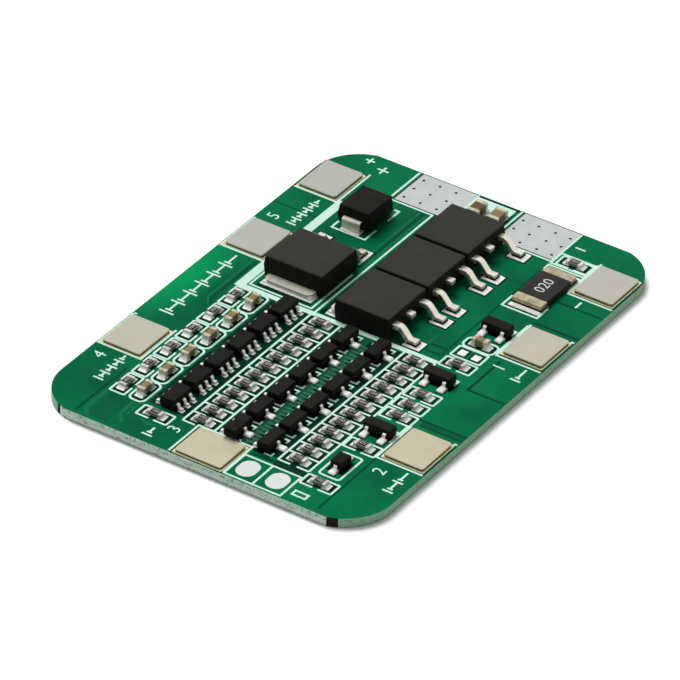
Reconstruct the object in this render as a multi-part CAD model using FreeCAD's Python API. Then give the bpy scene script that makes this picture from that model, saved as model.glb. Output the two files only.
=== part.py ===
"""Battery management board for a six-cell pack: laminate, weld tabs, power switches and signal packages.

The frame stands at the centre of the laminate's underside: +X along a short edge, +Y along a long edge
towards the two load lands, +Z up through the components. Everything is in millimetres.
"""
import FreeCAD
import Part
import math
import os

V = FreeCAD.Vector

# Laminate, with the V-score along both short edges
BOARD_THICKNESS = 1.0
CORNER_RADIUS = 5.2
SCORE_DEPTH = 0.33
SCORE_HALF_ANGLE = 30.0
CUTTER_OVERRUN = 0.5

# Plated lands on top of the laminate
LAND_THICKNESS = 0.05
LAND_TOE = 0.4
LAND_HEEL = 0.2
LAND_SIDE = 0.1
POWER_LAND_TOE = 0.6
POWER_LAND_HEEL = 0.45
POWER_LAND_SIDE = 0.4
LAND_TAB_SIDE = 0.25

# Nickel weld tabs
TAB_LENGTH = 5.0
TAB_WIDTH = 4.2
TAB_THICKNESS = 0.3
TAB_CORNER_RADIUS = 0.25
TAB_LAND_MARGIN = 0.2
SIDE_MARGIN = 0.45
FRONT_MARGIN = 0.33
FRONT_TAB_Y = 13.2
BACK_TAB_SETBACK = 6.35
MIDDLE_TAB_SPACING = 12.4
END_TAB_OFFSET = 0.2

# Load lands, drilled through, and the oval lands for the temperature sensor
LOAD_LAND_WIDTH = 6.2
LOAD_LAND_LENGTH = 5.25
LOAD_LAND_SPACING = 11.5
BACK_MARGIN = 0.15
SENSOR_LAND_WIDTH = 2.1
SENSOR_LAND_LENGTH = 2.65
SENSOR_LAND_SPACING = 3.2
SENSOR_LAND_GAP = 0.85
SENSOR_LAND_Y = 2.0

# Power switches: a heat tab under the moulding, two formed legs and a cropped centre leg
STACKED_SWITCHES = ("power_switch_1", "power_switch_2", "power_switch_3")
SIDE_SWITCH = "power_switch_4"
SWITCH_BODY_LENGTH = 6.1
SWITCH_BODY_WIDTH = 6.6
SWITCH_HEIGHT = 2.3
SWITCH_SHEET = 0.5
SWITCH_TAB_WIDTH = 5.3
SWITCH_TAB_REACH = 1.0
SWITCH_TAB_CHAMFER = 0.6
SWITCH_SLUG_SETBACK = 1.2
SWITCH_LEG_WIDTH = 0.76
SWITCH_LEG_OFFSET = 2.285
SWITCH_LEG_REACH = 2.6
SWITCH_LEG_TOP = 1.55
SWITCH_LEG_SHOULDER = 0.75
SWITCH_FOOT_LENGTH = 0.95
SWITCH_STUB_REACH = 0.65
SWITCH_BEND_RADIUS = 0.35
SWITCH_LEG_ROOT = 0.6
SWITCH_GAP = 0.17
SWITCH_EDGE = 0.12

# Clamp diode, with terminals folded down its ends and under it
CLAMP_BODY_LENGTH = 4.3
CLAMP_BODY_WIDTH = 3.6
CLAMP_HEIGHT = 2.2
CLAMP_SHEET = 0.2
CLAMP_TERMINAL_WIDTH = 2.0
CLAMP_TERMINAL_REACH = 0.45
CLAMP_TERMINAL_TUCK = 1.1
CLAMP_TERMINAL_TOP = 1.2
CLAMP_BEND_RADIUS = 0.08
CLAMP_STAND_OFF = 0.03

# Current shunt
SHUNT_LENGTH = 6.35
SHUNT_WIDTH = 3.2
SHUNT_HEIGHT = 0.6
SHUNT_BAND = 1.1
SHUNT_PLATING = 0.05

# Cell monitors, six-legged
MONITOR_BODY_LENGTH = 2.9
MONITOR_BODY_WIDTH = 1.6
MONITOR_HEIGHT = 1.1
MONITOR_SPAN = 2.8

# Transistors, three-legged
TRANSISTOR_BODY_LENGTH = 2.9
TRANSISTOR_BODY_WIDTH = 1.3
TRANSISTOR_HEIGHT = 1.0
TRANSISTOR_SPAN = 2.4

# Legs that the small packages share
LEG_WIDTH = 0.4
LEG_SHEET = 0.13
LEG_PITCH = 0.95
LEG_HEIGHT = 0.6
LEG_FOOT = 0.3
LEG_BEND_RADIUS = 0.08
BODY_STAND_OFF = 0.08
MOULD_DRAFT = 7.0

# Signal diode
DIODE_BODY_LENGTH = 1.7
DIODE_BODY_WIDTH = 1.25
DIODE_HEIGHT = 0.95
DIODE_SPAN = 2.5

# Chip resistors and capacitors
RESISTOR_LENGTH = 1.6
RESISTOR_WIDTH = 0.8
RESISTOR_HEIGHT = 0.45
RESISTOR_BAND = 0.3
CAPACITOR_HEIGHT = 0.8
CAPACITOR_BAND = 0.33
BULK_LENGTH = 2.0
BULK_WIDTH = 1.25
BULK_HEIGHT = 0.9
BULK_BAND = 0.4
BULK_SPACING = 2.2
BULK_SETBACK = 2.9
CHIP_PLATING = 0.04

# Rows of the cell circuits, one row for each cell, counted from the front edge
CELL_COUNT = 6
ROW_GAP = 0.59
FRONT_STRIP_GAP = 0.32
MONITOR_ROW_SHIFT = 0.5
CHIP_ROW_SHIFT = 0.2
HALF_ROW_SHIFT = 0.25
SWITCH_ROW_GAP = 1.0
LOAD_LAND_GAP = 0.26

# Gaps between the columns, from the left edge to the right edge
GAP_TAB_TO_FILTER = 1.13
GAP_FILTER_TO_CAPACITOR = 1.26
GAP_CAPACITOR_TO_MONITOR = 1.38
GAP_MONITOR_TO_GATE = 1.58
GAP_GATE_TO_BLEED = 1.4
GAP_BLEED_TO_SHIFT = 1.2
GAP_SHIFT_TO_SENSE = 1.4
GAP_SENSE_TO_DRIVER = 1.25
GAP_DRIVER_TO_TAB = 0.8

# Left power area: the fourth switch and the clamp diode
GAP_TAB_TO_SIDE_SWITCH = 1.71
SIDE_SWITCH_ROW_GAP = 2.2
GAP_SIDE_SWITCH_TO_STACK = 1.74
GAP_TAB_TO_CLAMP = 2.41
GAP_SIDE_SWITCH_TO_CLAMP = 2.3
LINK_RESISTOR_GAP = 0.85
LINK_RESISTOR_SHIFT = 0.3

# What stands in the driver column, from the front, with the gap before each
DRIVER_COLUMN = (
    ("resistor", 3.4),
    ("diode", 1.75),
    ("resistor", 1.95),
    ("transistor", 1.2),
    ("resistor", 1.5),
    ("resistor", 1.17),
    ("resistor", 1.23),
    ("transistor", 1.3),
    ("resistor", 1.5),
    ("empty", 1.2),
    ("capacitor", 1.1),
    ("transistor", 1.3),
    ("shunt", 3.77),
    ("resistor", 1.87),
)

# Edges of the columns, each worked out from the one to its left
FILTER_X = SIDE_MARGIN + TAB_WIDTH + GAP_TAB_TO_FILTER + RESISTOR_WIDTH / 2
CAPACITOR_X = FILTER_X + RESISTOR_WIDTH + GAP_FILTER_TO_CAPACITOR
MONITOR_X = CAPACITOR_X + RESISTOR_WIDTH / 2 + GAP_CAPACITOR_TO_MONITOR + MONITOR_SPAN / 2
GATE_X = MONITOR_X + MONITOR_SPAN / 2 + GAP_MONITOR_TO_GATE + RESISTOR_LENGTH / 2
BLEED_X = GATE_X + RESISTOR_LENGTH / 2 + GAP_GATE_TO_BLEED + TRANSISTOR_SPAN / 2
SHIFT_X = BLEED_X + TRANSISTOR_SPAN + GAP_BLEED_TO_SHIFT
SENSE_X = SHIFT_X + TRANSISTOR_SPAN / 2 + GAP_SHIFT_TO_SENSE + RESISTOR_LENGTH / 2
DRIVER_X = SENSE_X + RESISTOR_LENGTH / 2 + GAP_SENSE_TO_DRIVER + TRANSISTOR_BODY_LENGTH / 2
RIGHT_TAB_X = DRIVER_X + TRANSISTOR_BODY_LENGTH / 2 + GAP_DRIVER_TO_TAB + TAB_WIDTH / 2
BOARD_WIDTH = RIGHT_TAB_X + TAB_WIDTH / 2 + SIDE_MARGIN
LEFT_TAB_X = SIDE_MARGIN + TAB_WIDTH / 2

# Rows, each worked out from the one in front of it
ROW_PITCH = max(TRANSISTOR_BODY_LENGTH, MONITOR_BODY_LENGTH) + ROW_GAP
ROWS_START = FRONT_MARGIN + TAB_WIDTH + FRONT_STRIP_GAP
FIRST_ROW_Y = ROWS_START + TRANSISTOR_BODY_LENGTH / 2
ROWS_END = ROWS_START + CELL_COUNT * ROW_PITCH - ROW_GAP
STACK_START = ROWS_END + SWITCH_ROW_GAP
SWITCH_PITCH = SWITCH_BODY_WIDTH + SWITCH_GAP
STACK_END = STACK_START + len(STACKED_SWITCHES) * SWITCH_PITCH - SWITCH_GAP
LOAD_LAND_Y = STACK_END + LOAD_LAND_GAP + LOAD_LAND_LENGTH / 2
BOARD_LENGTH = LOAD_LAND_Y + LOAD_LAND_LENGTH / 2 + BACK_MARGIN
SEAT_Z = BOARD_THICKNESS + LAND_THICKNESS

# Places in the power area
SWITCH_REAR = SWITCH_BODY_LENGTH / 2 + SWITCH_TAB_REACH
SWITCH_TOE = SWITCH_BODY_LENGTH / 2 + SWITCH_LEG_REACH
SIDE_SWITCH_X = SIDE_MARGIN + TAB_WIDTH + GAP_TAB_TO_SIDE_SWITCH + SWITCH_BODY_WIDTH / 2
SIDE_SWITCH_Y = ROWS_END + SIDE_SWITCH_ROW_GAP + SWITCH_REAR
STACK_X = SIDE_SWITCH_X + SWITCH_BODY_WIDTH / 2 + GAP_SIDE_SWITCH_TO_STACK + SWITCH_REAR
CLAMP_X = SIDE_MARGIN + TAB_WIDTH + GAP_TAB_TO_CLAMP + CLAMP_BODY_WIDTH / 2
CLAMP_REACH = CLAMP_BODY_LENGTH / 2 + CLAMP_TERMINAL_REACH
CLAMP_Y = SIDE_SWITCH_Y + SWITCH_TOE + GAP_SIDE_SWITCH_TO_CLAMP + CLAMP_REACH


class Package:
    """A package on its seat: its moulded or ceramic body, its metal, and the lands under it."""

    def __init__(self, body, metal, lands):
        self.body = body
        self.metal = metal
        self.lands = lands

    def placed(self, x, y, turn=0.0):
        """The same package turned about Z and set down on the board at (x, y) from the front-left corner."""
        return Package(
            [on_board(solid, x, y, turn) for solid in self.body],
            [on_board(solid, x, y, turn) for solid in self.metal],
            [on_board(solid, x, y, turn) for solid in self.lands],
        )


def on_board(shape, x, y, turn=0.0):
    """Moves a shape from its own seat to the top of the lands at (x, y) from the front-left corner."""
    moved = shape.copy()
    moved.rotate(V(0, 0, 0), V(0, 0, 1), turn)
    moved.translate(V(x - BOARD_WIDTH / 2, y - BOARD_LENGTH / 2, SEAT_Z))
    return moved


def block(length, width, height, x=0.0, y=0.0, z=0.0):
    """A box centred on (x, y) that stands on z."""
    return Part.makeBox(length, width, height, V(x - length / 2, y - width / 2, z))


def plate(length, width, height, radius, z=0.0):
    """A flat plate centred on the origin with four round corners."""
    solid = block(length, width, height, z=z)
    uprights = [edge for edge in solid.Edges if abs(edge.tangentAt(edge.FirstParameter).z) > 0.99]
    return solid.makeFillet(radius, uprights)


def land(length, width, x=0.0, y=0.0):
    """One plated land, its top at the packages' seat."""
    return block(length, width, LAND_THICKNESS, x, y, -LAND_THICKNESS)


def foot_land(toe_x, foot, width, y=0.0, toe=LAND_TOE, heel=LAND_HEEL, border=LAND_SIDE):
    """The land under one foot, longer than the foot at its toe and heel and wider at its sides."""
    inner = abs(toe_x) - foot - heel
    outer = abs(toe_x) + toe
    side = math.copysign(1.0, toe_x)
    return land(outer - inner, width + 2 * border, side * (outer + inner) / 2, y)


def bend(start, middle, end, is_round):
    """The outside or inside of one bend: an arc, or the single flat that stands for it on a tiny leg."""
    if is_round:
        return Part.Arc(start, middle, end).toShape()
    return Part.LineSegment(start, end).toShape()


def bent_strip(path, thickness, bend_radius, width, round_bends=True):
    """A sheet-metal strip along a path of (x, z) points, with a bend at each inner point."""
    points = [V(x, 0, z) for x, z in path]
    runs = [(b - a).normalize() for a, b in zip(points, points[1:])]
    normals = [V(-run.z, 0, run.x) for run in runs]
    sides = []
    for side in (1, -1):
        edges = []
        start = points[0] + normals[0] * (side * thickness / 2)
        for i in range(1, len(points) - 1):
            turn = math.copysign(1.0, runs[i - 1].z * -runs[i].x + runs[i - 1].x * runs[i].z)
            angle = runs[i - 1].getAngle(runs[i])
            middle_radius = bend_radius + thickness / 2
            tangent = middle_radius * math.tan(angle / 2)
            entry = points[i] - runs[i - 1] * tangent
            leave = points[i] + runs[i] * tangent
            centre = entry + normals[i - 1] * (turn * middle_radius)
            outwards = (normals[i - 1] + normals[i]).normalize() * -turn
            radius = middle_radius - side * turn * thickness / 2
            arc_start = entry + normals[i - 1] * (side * thickness / 2)
            arc_end = leave + normals[i] * (side * thickness / 2)
            edges.append(Part.LineSegment(start, arc_start).toShape())
            edges.append(bend(arc_start, centre + outwards * radius, arc_end, round_bends))
            start = arc_end
        end = points[-1] + normals[-1] * (side * thickness / 2)
        edges.append(Part.LineSegment(start, end).toShape())
        sides.append((edges, points[0] + normals[0] * (side * thickness / 2), end))
    (left, left_start, left_end), (right, right_start, right_end) = sides
    caps = [
        Part.LineSegment(left_end, right_end).toShape(),
        Part.LineSegment(right_start, left_start).toShape(),
    ]
    wire = Part.Wire(Part.__sortEdges__(left + right + caps))
    strip = Part.Face(wire).extrude(V(0, width, 0))
    strip.translate(V(0, -width / 2, 0))
    return strip


def section(length, width, z):
    """A closed rectangle at one height, for a drafted moulding."""
    x = length / 2
    y = width / 2
    return Part.makePolygon([V(-x, -y, z), V(x, -y, z), V(x, y, z), V(-x, y, z), V(-x, -y, z)])


def moulding(length, width, bottom, parting, top, edge=0.0):
    """A moulded body: two drafted halves that are widest at the parting line, with a softened top edge."""
    slope = math.tan(math.radians(MOULD_DRAFT))
    low = 2 * slope * (parting - bottom)
    high = 2 * slope * (top - edge - parting)
    rings = [section(length - low, width - low, bottom), section(length, width, parting)]
    rings.append(section(length - high, width - high, top - edge))
    if edge > 0:
        crown = high + 2 * edge
        rings.append(section(length - crown, width - crown, top))
    return Part.makeLoft(rings, True, True)


def turned(shape, degrees):
    """A copy of a shape turned about Z."""
    copy = shape.copy()
    copy.rotate(V(0, 0, 0), V(0, 0, 1), degrees)
    return copy


def shifted(shape, x=0.0, y=0.0, z=0.0):
    """A copy of a shape moved along the axes."""
    copy = shape.copy()
    copy.translate(V(x, y, z))
    return copy


def gull_leg(span, body_width):
    """One formed leg of a small package, from inside the body's right side down to its foot."""
    foot_z = LEG_SHEET / 2
    toe = span / 2
    heel = toe - LEG_FOOT
    shoulder = (body_width / 2 + heel) / 2
    path = [(body_width / 4, LEG_HEIGHT), (shoulder, LEG_HEIGHT), (heel, foot_z), (toe, foot_z)]
    return bent_strip(path, LEG_SHEET, LEG_BEND_RADIUS, LEG_WIDTH, round_bends=False)


def legged_package(body_length, body_width, height, span, places):
    """A small package whose legs stand at the given (side, y) places; the legs stop at the moulding."""
    body = moulding(body_width, body_length, BODY_STAND_OFF, LEG_HEIGHT, height)
    leg = gull_leg(span, body_width).cut(body)
    legs = []
    lands = []
    for side, y in places:
        legs.append(shifted(turned(leg, 0 if side > 0 else 180), y=y))
        lands.append(foot_land(side * span / 2, LEG_FOOT, LEG_WIDTH, y))
    return Package([body], legs, lands)


def cell_monitor():
    """Six-legged package: three legs on each side."""
    places = [(side, row * LEG_PITCH) for side in (-1, 1) for row in (-1, 0, 1)]
    return legged_package(
        MONITOR_BODY_LENGTH, MONITOR_BODY_WIDTH, MONITOR_HEIGHT, MONITOR_SPAN, places
    )


def transistor():
    """Three-legged package: two legs on the left and one on the right."""
    places = [(-1, -LEG_PITCH), (-1, LEG_PITCH), (1, 0.0)]
    return legged_package(
        TRANSISTOR_BODY_LENGTH, TRANSISTOR_BODY_WIDTH, TRANSISTOR_HEIGHT, TRANSISTOR_SPAN, places
    )


def signal_diode():
    """Two-legged package: one leg at each end."""
    places = [(-1, 0.0), (1, 0.0)]
    return legged_package(
        DIODE_BODY_WIDTH, DIODE_BODY_LENGTH, DIODE_HEIGHT, DIODE_SPAN, places
    )


def power_switch():
    """Power switch: heat tab with its cropped centre leg, two formed legs, and the moulding around them."""
    half = SWITCH_BODY_LENGTH / 2
    leg_z = SWITCH_LEG_TOP - SWITCH_SHEET / 2
    foot_z = SWITCH_SHEET / 2
    slug_front = half - SWITCH_SLUG_SETBACK
    slug_length = slug_front + SWITCH_REAR
    slug = block(slug_length, SWITCH_TAB_WIDTH, SWITCH_SHEET, slug_front - slug_length / 2)
    corners = [
        edge
        for edge in slug.Edges
        if abs(edge.tangentAt(edge.FirstParameter).z) > 0.99 and edge.CenterOfMass.x < 0
    ]
    slug = slug.makeChamfer(SWITCH_TAB_CHAMFER, corners)
    riser_end = half - SWITCH_LEG_ROOT
    riser = [
        (slug_front - 2 * SWITCH_SHEET, foot_z),
        (slug_front - SWITCH_SHEET, foot_z),
        (riser_end, leg_z),
        (half + SWITCH_STUB_REACH, leg_z),
    ]
    centre_leg = bent_strip(riser, SWITCH_SHEET, SWITCH_BEND_RADIUS / 2, SWITCH_LEG_WIDTH)
    heat_tab = slug.fuse(centre_leg).removeSplitter()
    formed = [
        (half - SWITCH_LEG_ROOT, leg_z),
        (half + SWITCH_LEG_SHOULDER, leg_z),
        (half + SWITCH_LEG_REACH - SWITCH_FOOT_LENGTH, foot_z),
        (half + SWITCH_LEG_REACH, foot_z),
    ]
    leg = bent_strip(formed, SWITCH_SHEET, SWITCH_BEND_RADIUS, SWITCH_LEG_WIDTH)
    legs = [shifted(leg, y=side * SWITCH_LEG_OFFSET) for side in (-1, 1)]
    body = moulding(
        SWITCH_BODY_LENGTH, SWITCH_BODY_WIDTH, 0.0, leg_z, SWITCH_HEIGHT, SWITCH_EDGE
    )
    for metal in [heat_tab] + legs:
        body = body.cut(metal)
    tab_land = land(
        slug_length + 2 * POWER_LAND_TOE,
        SWITCH_TAB_WIDTH + 2 * LAND_TAB_SIDE,
        slug_front - slug_length / 2,
    )
    toe = half + SWITCH_LEG_REACH
    lands = [tab_land]
    for side in (-1, 1):
        lands.append(
            foot_land(
                toe,
                SWITCH_FOOT_LENGTH,
                SWITCH_LEG_WIDTH,
                side * SWITCH_LEG_OFFSET,
                POWER_LAND_TOE,
                POWER_LAND_HEEL,
                POWER_LAND_SIDE,
            )
        )
    return Package([body], [heat_tab] + legs, lands)


def clamp_diode():
    """Clamp diode: a drafted block with a strip folded down each end and tucked under it."""
    half = CLAMP_BODY_LENGTH / 2
    top_z = CLAMP_TERMINAL_TOP - CLAMP_SHEET / 2
    low_z = CLAMP_SHEET / 2
    outer = half + CLAMP_TERMINAL_REACH - CLAMP_SHEET / 2
    path = [(half / 2, top_z), (outer, top_z), (outer, low_z), (half - CLAMP_TERMINAL_TUCK, low_z)]
    strip = bent_strip(path, CLAMP_SHEET, CLAMP_BEND_RADIUS, CLAMP_TERMINAL_WIDTH)
    bottom = CLAMP_SHEET + CLAMP_STAND_OFF
    body = moulding(CLAMP_BODY_LENGTH, CLAMP_BODY_WIDTH, bottom, top_z, CLAMP_HEIGHT)
    strip = strip.cut(body)
    lands = []
    for side in (-1, 1):
        toe = side * (half + CLAMP_TERMINAL_REACH)
        foot = CLAMP_TERMINAL_REACH + CLAMP_TERMINAL_TUCK
        lands.append(foot_land(toe, foot, CLAMP_TERMINAL_WIDTH))
    return Package([body], [strip, turned(strip, 180)], lands)


def chip(length, width, height, band, plating, side_plating=0.0, toe=LAND_TOE):
    """A chip part: a ceramic block with a plated cap over each end. With side plating, the caps close
    over the sides too, as they do on a capacitor."""
    core = block(length - 2 * plating, width - 2 * side_plating, height - 2 * plating, z=plating)
    caps = []
    lands = []
    for side in (-1, 1):
        end = block(band, width, height, side * (length - band) / 2)
        caps.append(end.cut(core))
        lands.append(foot_land(side * length / 2, band, width, toe=toe))
    return Package([core], caps, lands)


def resistor():
    """Thick-film chip resistor."""
    return chip(RESISTOR_LENGTH, RESISTOR_WIDTH, RESISTOR_HEIGHT, RESISTOR_BAND, CHIP_PLATING)


def capacitor():
    """Ceramic capacitor of the resistors' size, but taller."""
    return chip(
        RESISTOR_LENGTH,
        RESISTOR_WIDTH,
        CAPACITOR_HEIGHT,
        CAPACITOR_BAND,
        CHIP_PLATING,
        CHIP_PLATING,
    )


def bulk_capacitor():
    """Larger ceramic capacitor across the load lands."""
    return chip(BULK_LENGTH, BULK_WIDTH, BULK_HEIGHT, BULK_BAND, CHIP_PLATING, CHIP_PLATING)


def current_shunt():
    """Wide chip that measures the load current."""
    return chip(
        SHUNT_LENGTH, SHUNT_WIDTH, SHUNT_HEIGHT, SHUNT_BAND, SHUNT_PLATING, toe=POWER_LAND_TOE
    )


def circuit_board():
    """The laminate: round routed corners, and a V-score on both faces of each short edge, whose web
    stands proud where the board was snapped from its panel."""
    reach = SCORE_DEPTH * math.tan(math.radians(SCORE_HALF_ANGLE))
    board = plate(BOARD_WIDTH, BOARD_LENGTH + 2 * reach, BOARD_THICKNESS, CORNER_RADIUS)
    mouth = (SCORE_DEPTH + CUTTER_OVERRUN) * math.tan(math.radians(SCORE_HALF_ANGLE))
    for end in (-1, 1):
        line = end * (BOARD_LENGTH / 2 + reach)
        for root, open_z in (
            (BOARD_THICKNESS - SCORE_DEPTH, BOARD_THICKNESS + CUTTER_OVERRUN),
            (SCORE_DEPTH, -CUTTER_OVERRUN),
        ):
            start = -BOARD_WIDTH / 2 - CUTTER_OVERRUN
            cutter = Part.makePolygon(
                [
                    V(start, line, root),
                    V(start, line - mouth, open_z),
                    V(start, line + mouth, open_z),
                    V(start, line, root),
                ]
            )
            groove = Part.Face(cutter).extrude(V(BOARD_WIDTH + 2 * CUTTER_OVERRUN, 0, 0))
            board = board.cut(groove)
    return board


def weld_tab():
    """Nickel tab, long side along Y, standing on its land."""
    return plate(TAB_WIDTH, TAB_LENGTH, TAB_THICKNESS, TAB_CORNER_RADIUS)


def tab_land():
    """The land under a weld tab."""
    margin = 2 * TAB_LAND_MARGIN
    return land(TAB_WIDTH + margin, TAB_LENGTH + margin)


def oval_land():
    """Oval land: two half rounds joined by straight sides."""
    return plate(
        SENSOR_LAND_WIDTH,
        SENSOR_LAND_LENGTH,
        LAND_THICKNESS,
        SENSOR_LAND_WIDTH / 2 - LAND_THICKNESS / 2,
        -LAND_THICKNESS,
    )


def tab_places():
    """Name, place and turn of each weld tab, from the negative end of the cell chain to the positive."""
    back = BOARD_LENGTH - BACK_TAB_SETBACK
    middle = back - MIDDLE_TAB_SPACING
    end_x = BOARD_WIDTH / 2 + END_TAB_OFFSET
    return [
        ("weld_tab_negative", RIGHT_TAB_X, back, 0),
        ("weld_tab_cell_1", RIGHT_TAB_X, middle, 0),
        ("weld_tab_cell_2", RIGHT_TAB_X, FRONT_TAB_Y, 0),
        ("weld_tab_cell_3", end_x, FRONT_MARGIN + TAB_WIDTH / 2, 90),
        ("weld_tab_cell_4", LEFT_TAB_X, FRONT_TAB_Y, 0),
        ("weld_tab_cell_5", LEFT_TAB_X, middle, 0),
        ("weld_tab_positive", LEFT_TAB_X, back, 0),
    ]


class Board:
    """Collects the solids of every node."""

    def __init__(self):
        self.nodes = {}

    def add(self, node, solids):
        """Adds solids to a node."""
        self.nodes.setdefault(node, []).extend(solids)

    def add_package(self, package, body_node, metal_node):
        """Adds a placed package: its body, its metal, and its lands with the others."""
        self.add(body_node, package.body)
        self.add(metal_node, package.metal)
        self.add("package_lands", package.lands)

    def export(self):
        """Writes one STEP file for each node."""
        os.makedirs("parts", exist_ok=True)
        for node, solids in self.nodes.items():
            shape = solids[0] if len(solids) == 1 else Part.makeCompound(solids)
            shape.exportStep("parts/" + node + ".step")


def add_tabs_and_lands(board):
    """The weld tabs on their lands, the two load lands and the two sensor lands."""
    for node, x, y, turn in tab_places():
        board.add(node, [on_board(weld_tab(), x, y, turn)])
        board.add("tab_lands", [on_board(tab_land(), x, y, turn)])
    for node, side in (("load_land_positive", -1), ("load_land_negative", 1)):
        x = BOARD_WIDTH / 2 + side * LOAD_LAND_SPACING / 2
        board.add(node, [on_board(land(LOAD_LAND_WIDTH, LOAD_LAND_LENGTH), x, LOAD_LAND_Y)])
    first = BOARD_WIDTH / 2 + END_TAB_OFFSET + TAB_LENGTH / 2 + SENSOR_LAND_GAP
    first += SENSOR_LAND_WIDTH / 2
    for x in (first, first + SENSOR_LAND_SPACING):
        board.add("sensor_lands", [on_board(oval_land(), x, SENSOR_LAND_Y)])


def add_cell_rows(board):
    """One row for each cell: filter resistor and capacitor, monitor, and two transistors."""
    for row in range(CELL_COUNT):
        number = str(row + 1)
        y = FIRST_ROW_Y + row * ROW_PITCH
        chip_y = y + CHIP_ROW_SHIFT
        board.add_package(
            resistor().placed(FILTER_X, chip_y, 90), "filter_resistors", "chip_end_caps"
        )
        board.add_package(
            capacitor().placed(CAPACITOR_X, chip_y, 90), "ceramic_capacitors", "chip_end_caps"
        )
        board.add_package(
            cell_monitor().placed(MONITOR_X, y + MONITOR_ROW_SHIFT),
            "cell_monitor_" + number,
            "cell_monitor_legs",
        )
        board.add_package(
            transistor().placed(BLEED_X, y), "bleed_transistor_" + number, "bleed_transistor_legs"
        )
        board.add_package(
            transistor().placed(SHIFT_X, y), "shift_transistor_" + number, "shift_transistor_legs"
        )
        for half in (-1, 1):
            half_y = y + HALF_ROW_SHIFT + half * ROW_PITCH / 4
            board.add_package(
                resistor().placed(GATE_X, half_y), "gate_resistors", "chip_end_caps"
            )
            board.add_package(
                resistor().placed(SENSE_X, half_y), "sense_resistors", "chip_end_caps"
            )


def add_driver_column(board):
    """The column beside the right-hand tabs, stacked from the front edge."""
    kinds = {
        "resistor": (resistor(), RESISTOR_WIDTH, 0, "bias_resistors", "chip_end_caps"),
        "capacitor": (capacitor(), RESISTOR_WIDTH, 0, "ceramic_capacitors", "chip_end_caps"),
        "transistor": (transistor(), TRANSISTOR_SPAN, 90, "", "driver_transistor_legs"),
        "diode": (signal_diode(), DIODE_SPAN, 90, "signal_diode", "signal_diode_legs"),
        "shunt": (current_shunt(), SHUNT_LENGTH, 90, "current_shunt", "current_shunt_terminals"),
    }
    y = 0.0
    transistors = 0
    for kind, gap in DRIVER_COLUMN:
        if kind == "empty":
            y += gap + RESISTOR_WIDTH
            empty = resistor().placed(DRIVER_X, y - RESISTOR_WIDTH / 2)
            board.add("package_lands", empty.lands)
            continue
        package, depth, turn, body_node, metal_node = kinds[kind]
        if kind == "transistor":
            transistors += 1
            body_node = "driver_transistor_" + str(transistors)
        placed = package.placed(DRIVER_X, y + gap + depth / 2, turn)
        board.add_package(placed, body_node, metal_node)
        y += gap + depth


def add_power_area(board):
    """The stack of three power switches, the fourth beside it, the clamp diode and bulk capacitors."""
    y = STACK_END - SWITCH_BODY_WIDTH / 2
    for name in STACKED_SWITCHES:
        board.add_package(power_switch().placed(STACK_X, y), name, name + "_frame")
        y -= SWITCH_PITCH
    side_switch = power_switch().placed(SIDE_SWITCH_X, SIDE_SWITCH_Y, 90)
    board.add_package(side_switch, SIDE_SWITCH, SIDE_SWITCH + "_frame")
    board.add_package(
        clamp_diode().placed(CLAMP_X, CLAMP_Y, 90), "clamp_diode", "clamp_diode_terminals"
    )
    for side in (-1, 1):
        x = BOARD_WIDTH / 2 + side * BULK_SPACING / 2
        placed = bulk_capacitor().placed(x, BOARD_LENGTH - BULK_SETBACK, 90)
        board.add_package(placed, "ceramic_capacitors", "chip_end_caps")
    board.add_package(
        resistor().placed(MONITOR_X - LINK_RESISTOR_SHIFT, ROWS_START - LINK_RESISTOR_GAP),
        "bias_resistors",
        "chip_end_caps",
    )


def build():
    """Builds every node and writes its file."""
    board = Board()
    board.add("circuit_board", [circuit_board()])
    add_tabs_and_lands(board)
    add_cell_rows(board)
    add_driver_column(board)
    add_power_area(board)
    board.export()


build()
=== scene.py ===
"""Looks of the battery management board: rounded pieces, solder, legend, finishes and the studio.

Lengths in the classes are in millimetres, as on the board's own drawing, and places are measured from
its front-left corner. What stands on the board takes its place from the frame.
"""

import itertools
import logging
import math
from collections.abc import Callable, Iterable, Sequence
from dataclasses import dataclass, field
from enum import Enum

import bmesh
import bpy
from mathutils import Matrix, Vector


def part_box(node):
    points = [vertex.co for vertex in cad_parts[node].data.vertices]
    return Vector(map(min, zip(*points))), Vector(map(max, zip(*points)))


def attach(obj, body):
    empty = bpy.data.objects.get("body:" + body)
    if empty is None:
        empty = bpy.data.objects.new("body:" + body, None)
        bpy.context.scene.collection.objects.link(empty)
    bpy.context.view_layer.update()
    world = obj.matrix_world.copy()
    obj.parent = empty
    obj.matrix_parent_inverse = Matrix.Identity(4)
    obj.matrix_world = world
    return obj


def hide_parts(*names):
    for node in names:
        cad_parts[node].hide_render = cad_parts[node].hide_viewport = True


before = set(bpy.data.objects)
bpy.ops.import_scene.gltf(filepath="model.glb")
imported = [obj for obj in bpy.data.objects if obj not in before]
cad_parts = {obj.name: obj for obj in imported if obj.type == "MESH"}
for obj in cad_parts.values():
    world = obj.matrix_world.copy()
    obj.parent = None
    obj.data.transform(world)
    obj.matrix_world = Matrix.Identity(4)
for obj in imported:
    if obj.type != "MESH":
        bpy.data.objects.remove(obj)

Tree, Socket, Mesh = bpy.types.NodeTree, bpy.types.NodeSocket, bpy.types.Mesh
Vert, Edge, Face = bmesh.types.BMVert, bmesh.types.BMEdge, bmesh.types.BMFace
Point = tuple[float, float]
Triple = tuple[float, float, float]
Path = tuple[Point, ...]
Rectangle = tuple[float, float, float, float]

LOG = logging.getLogger("board")
MM = 0.001
BODY = "root"
MERGE_DISTANCE = 0.0001 * MM
SAME_LEVEL = 0.001 * MM
# Edges that turn further than this are shaded sharp
SHARP_ANGLE = math.radians(38)
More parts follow.
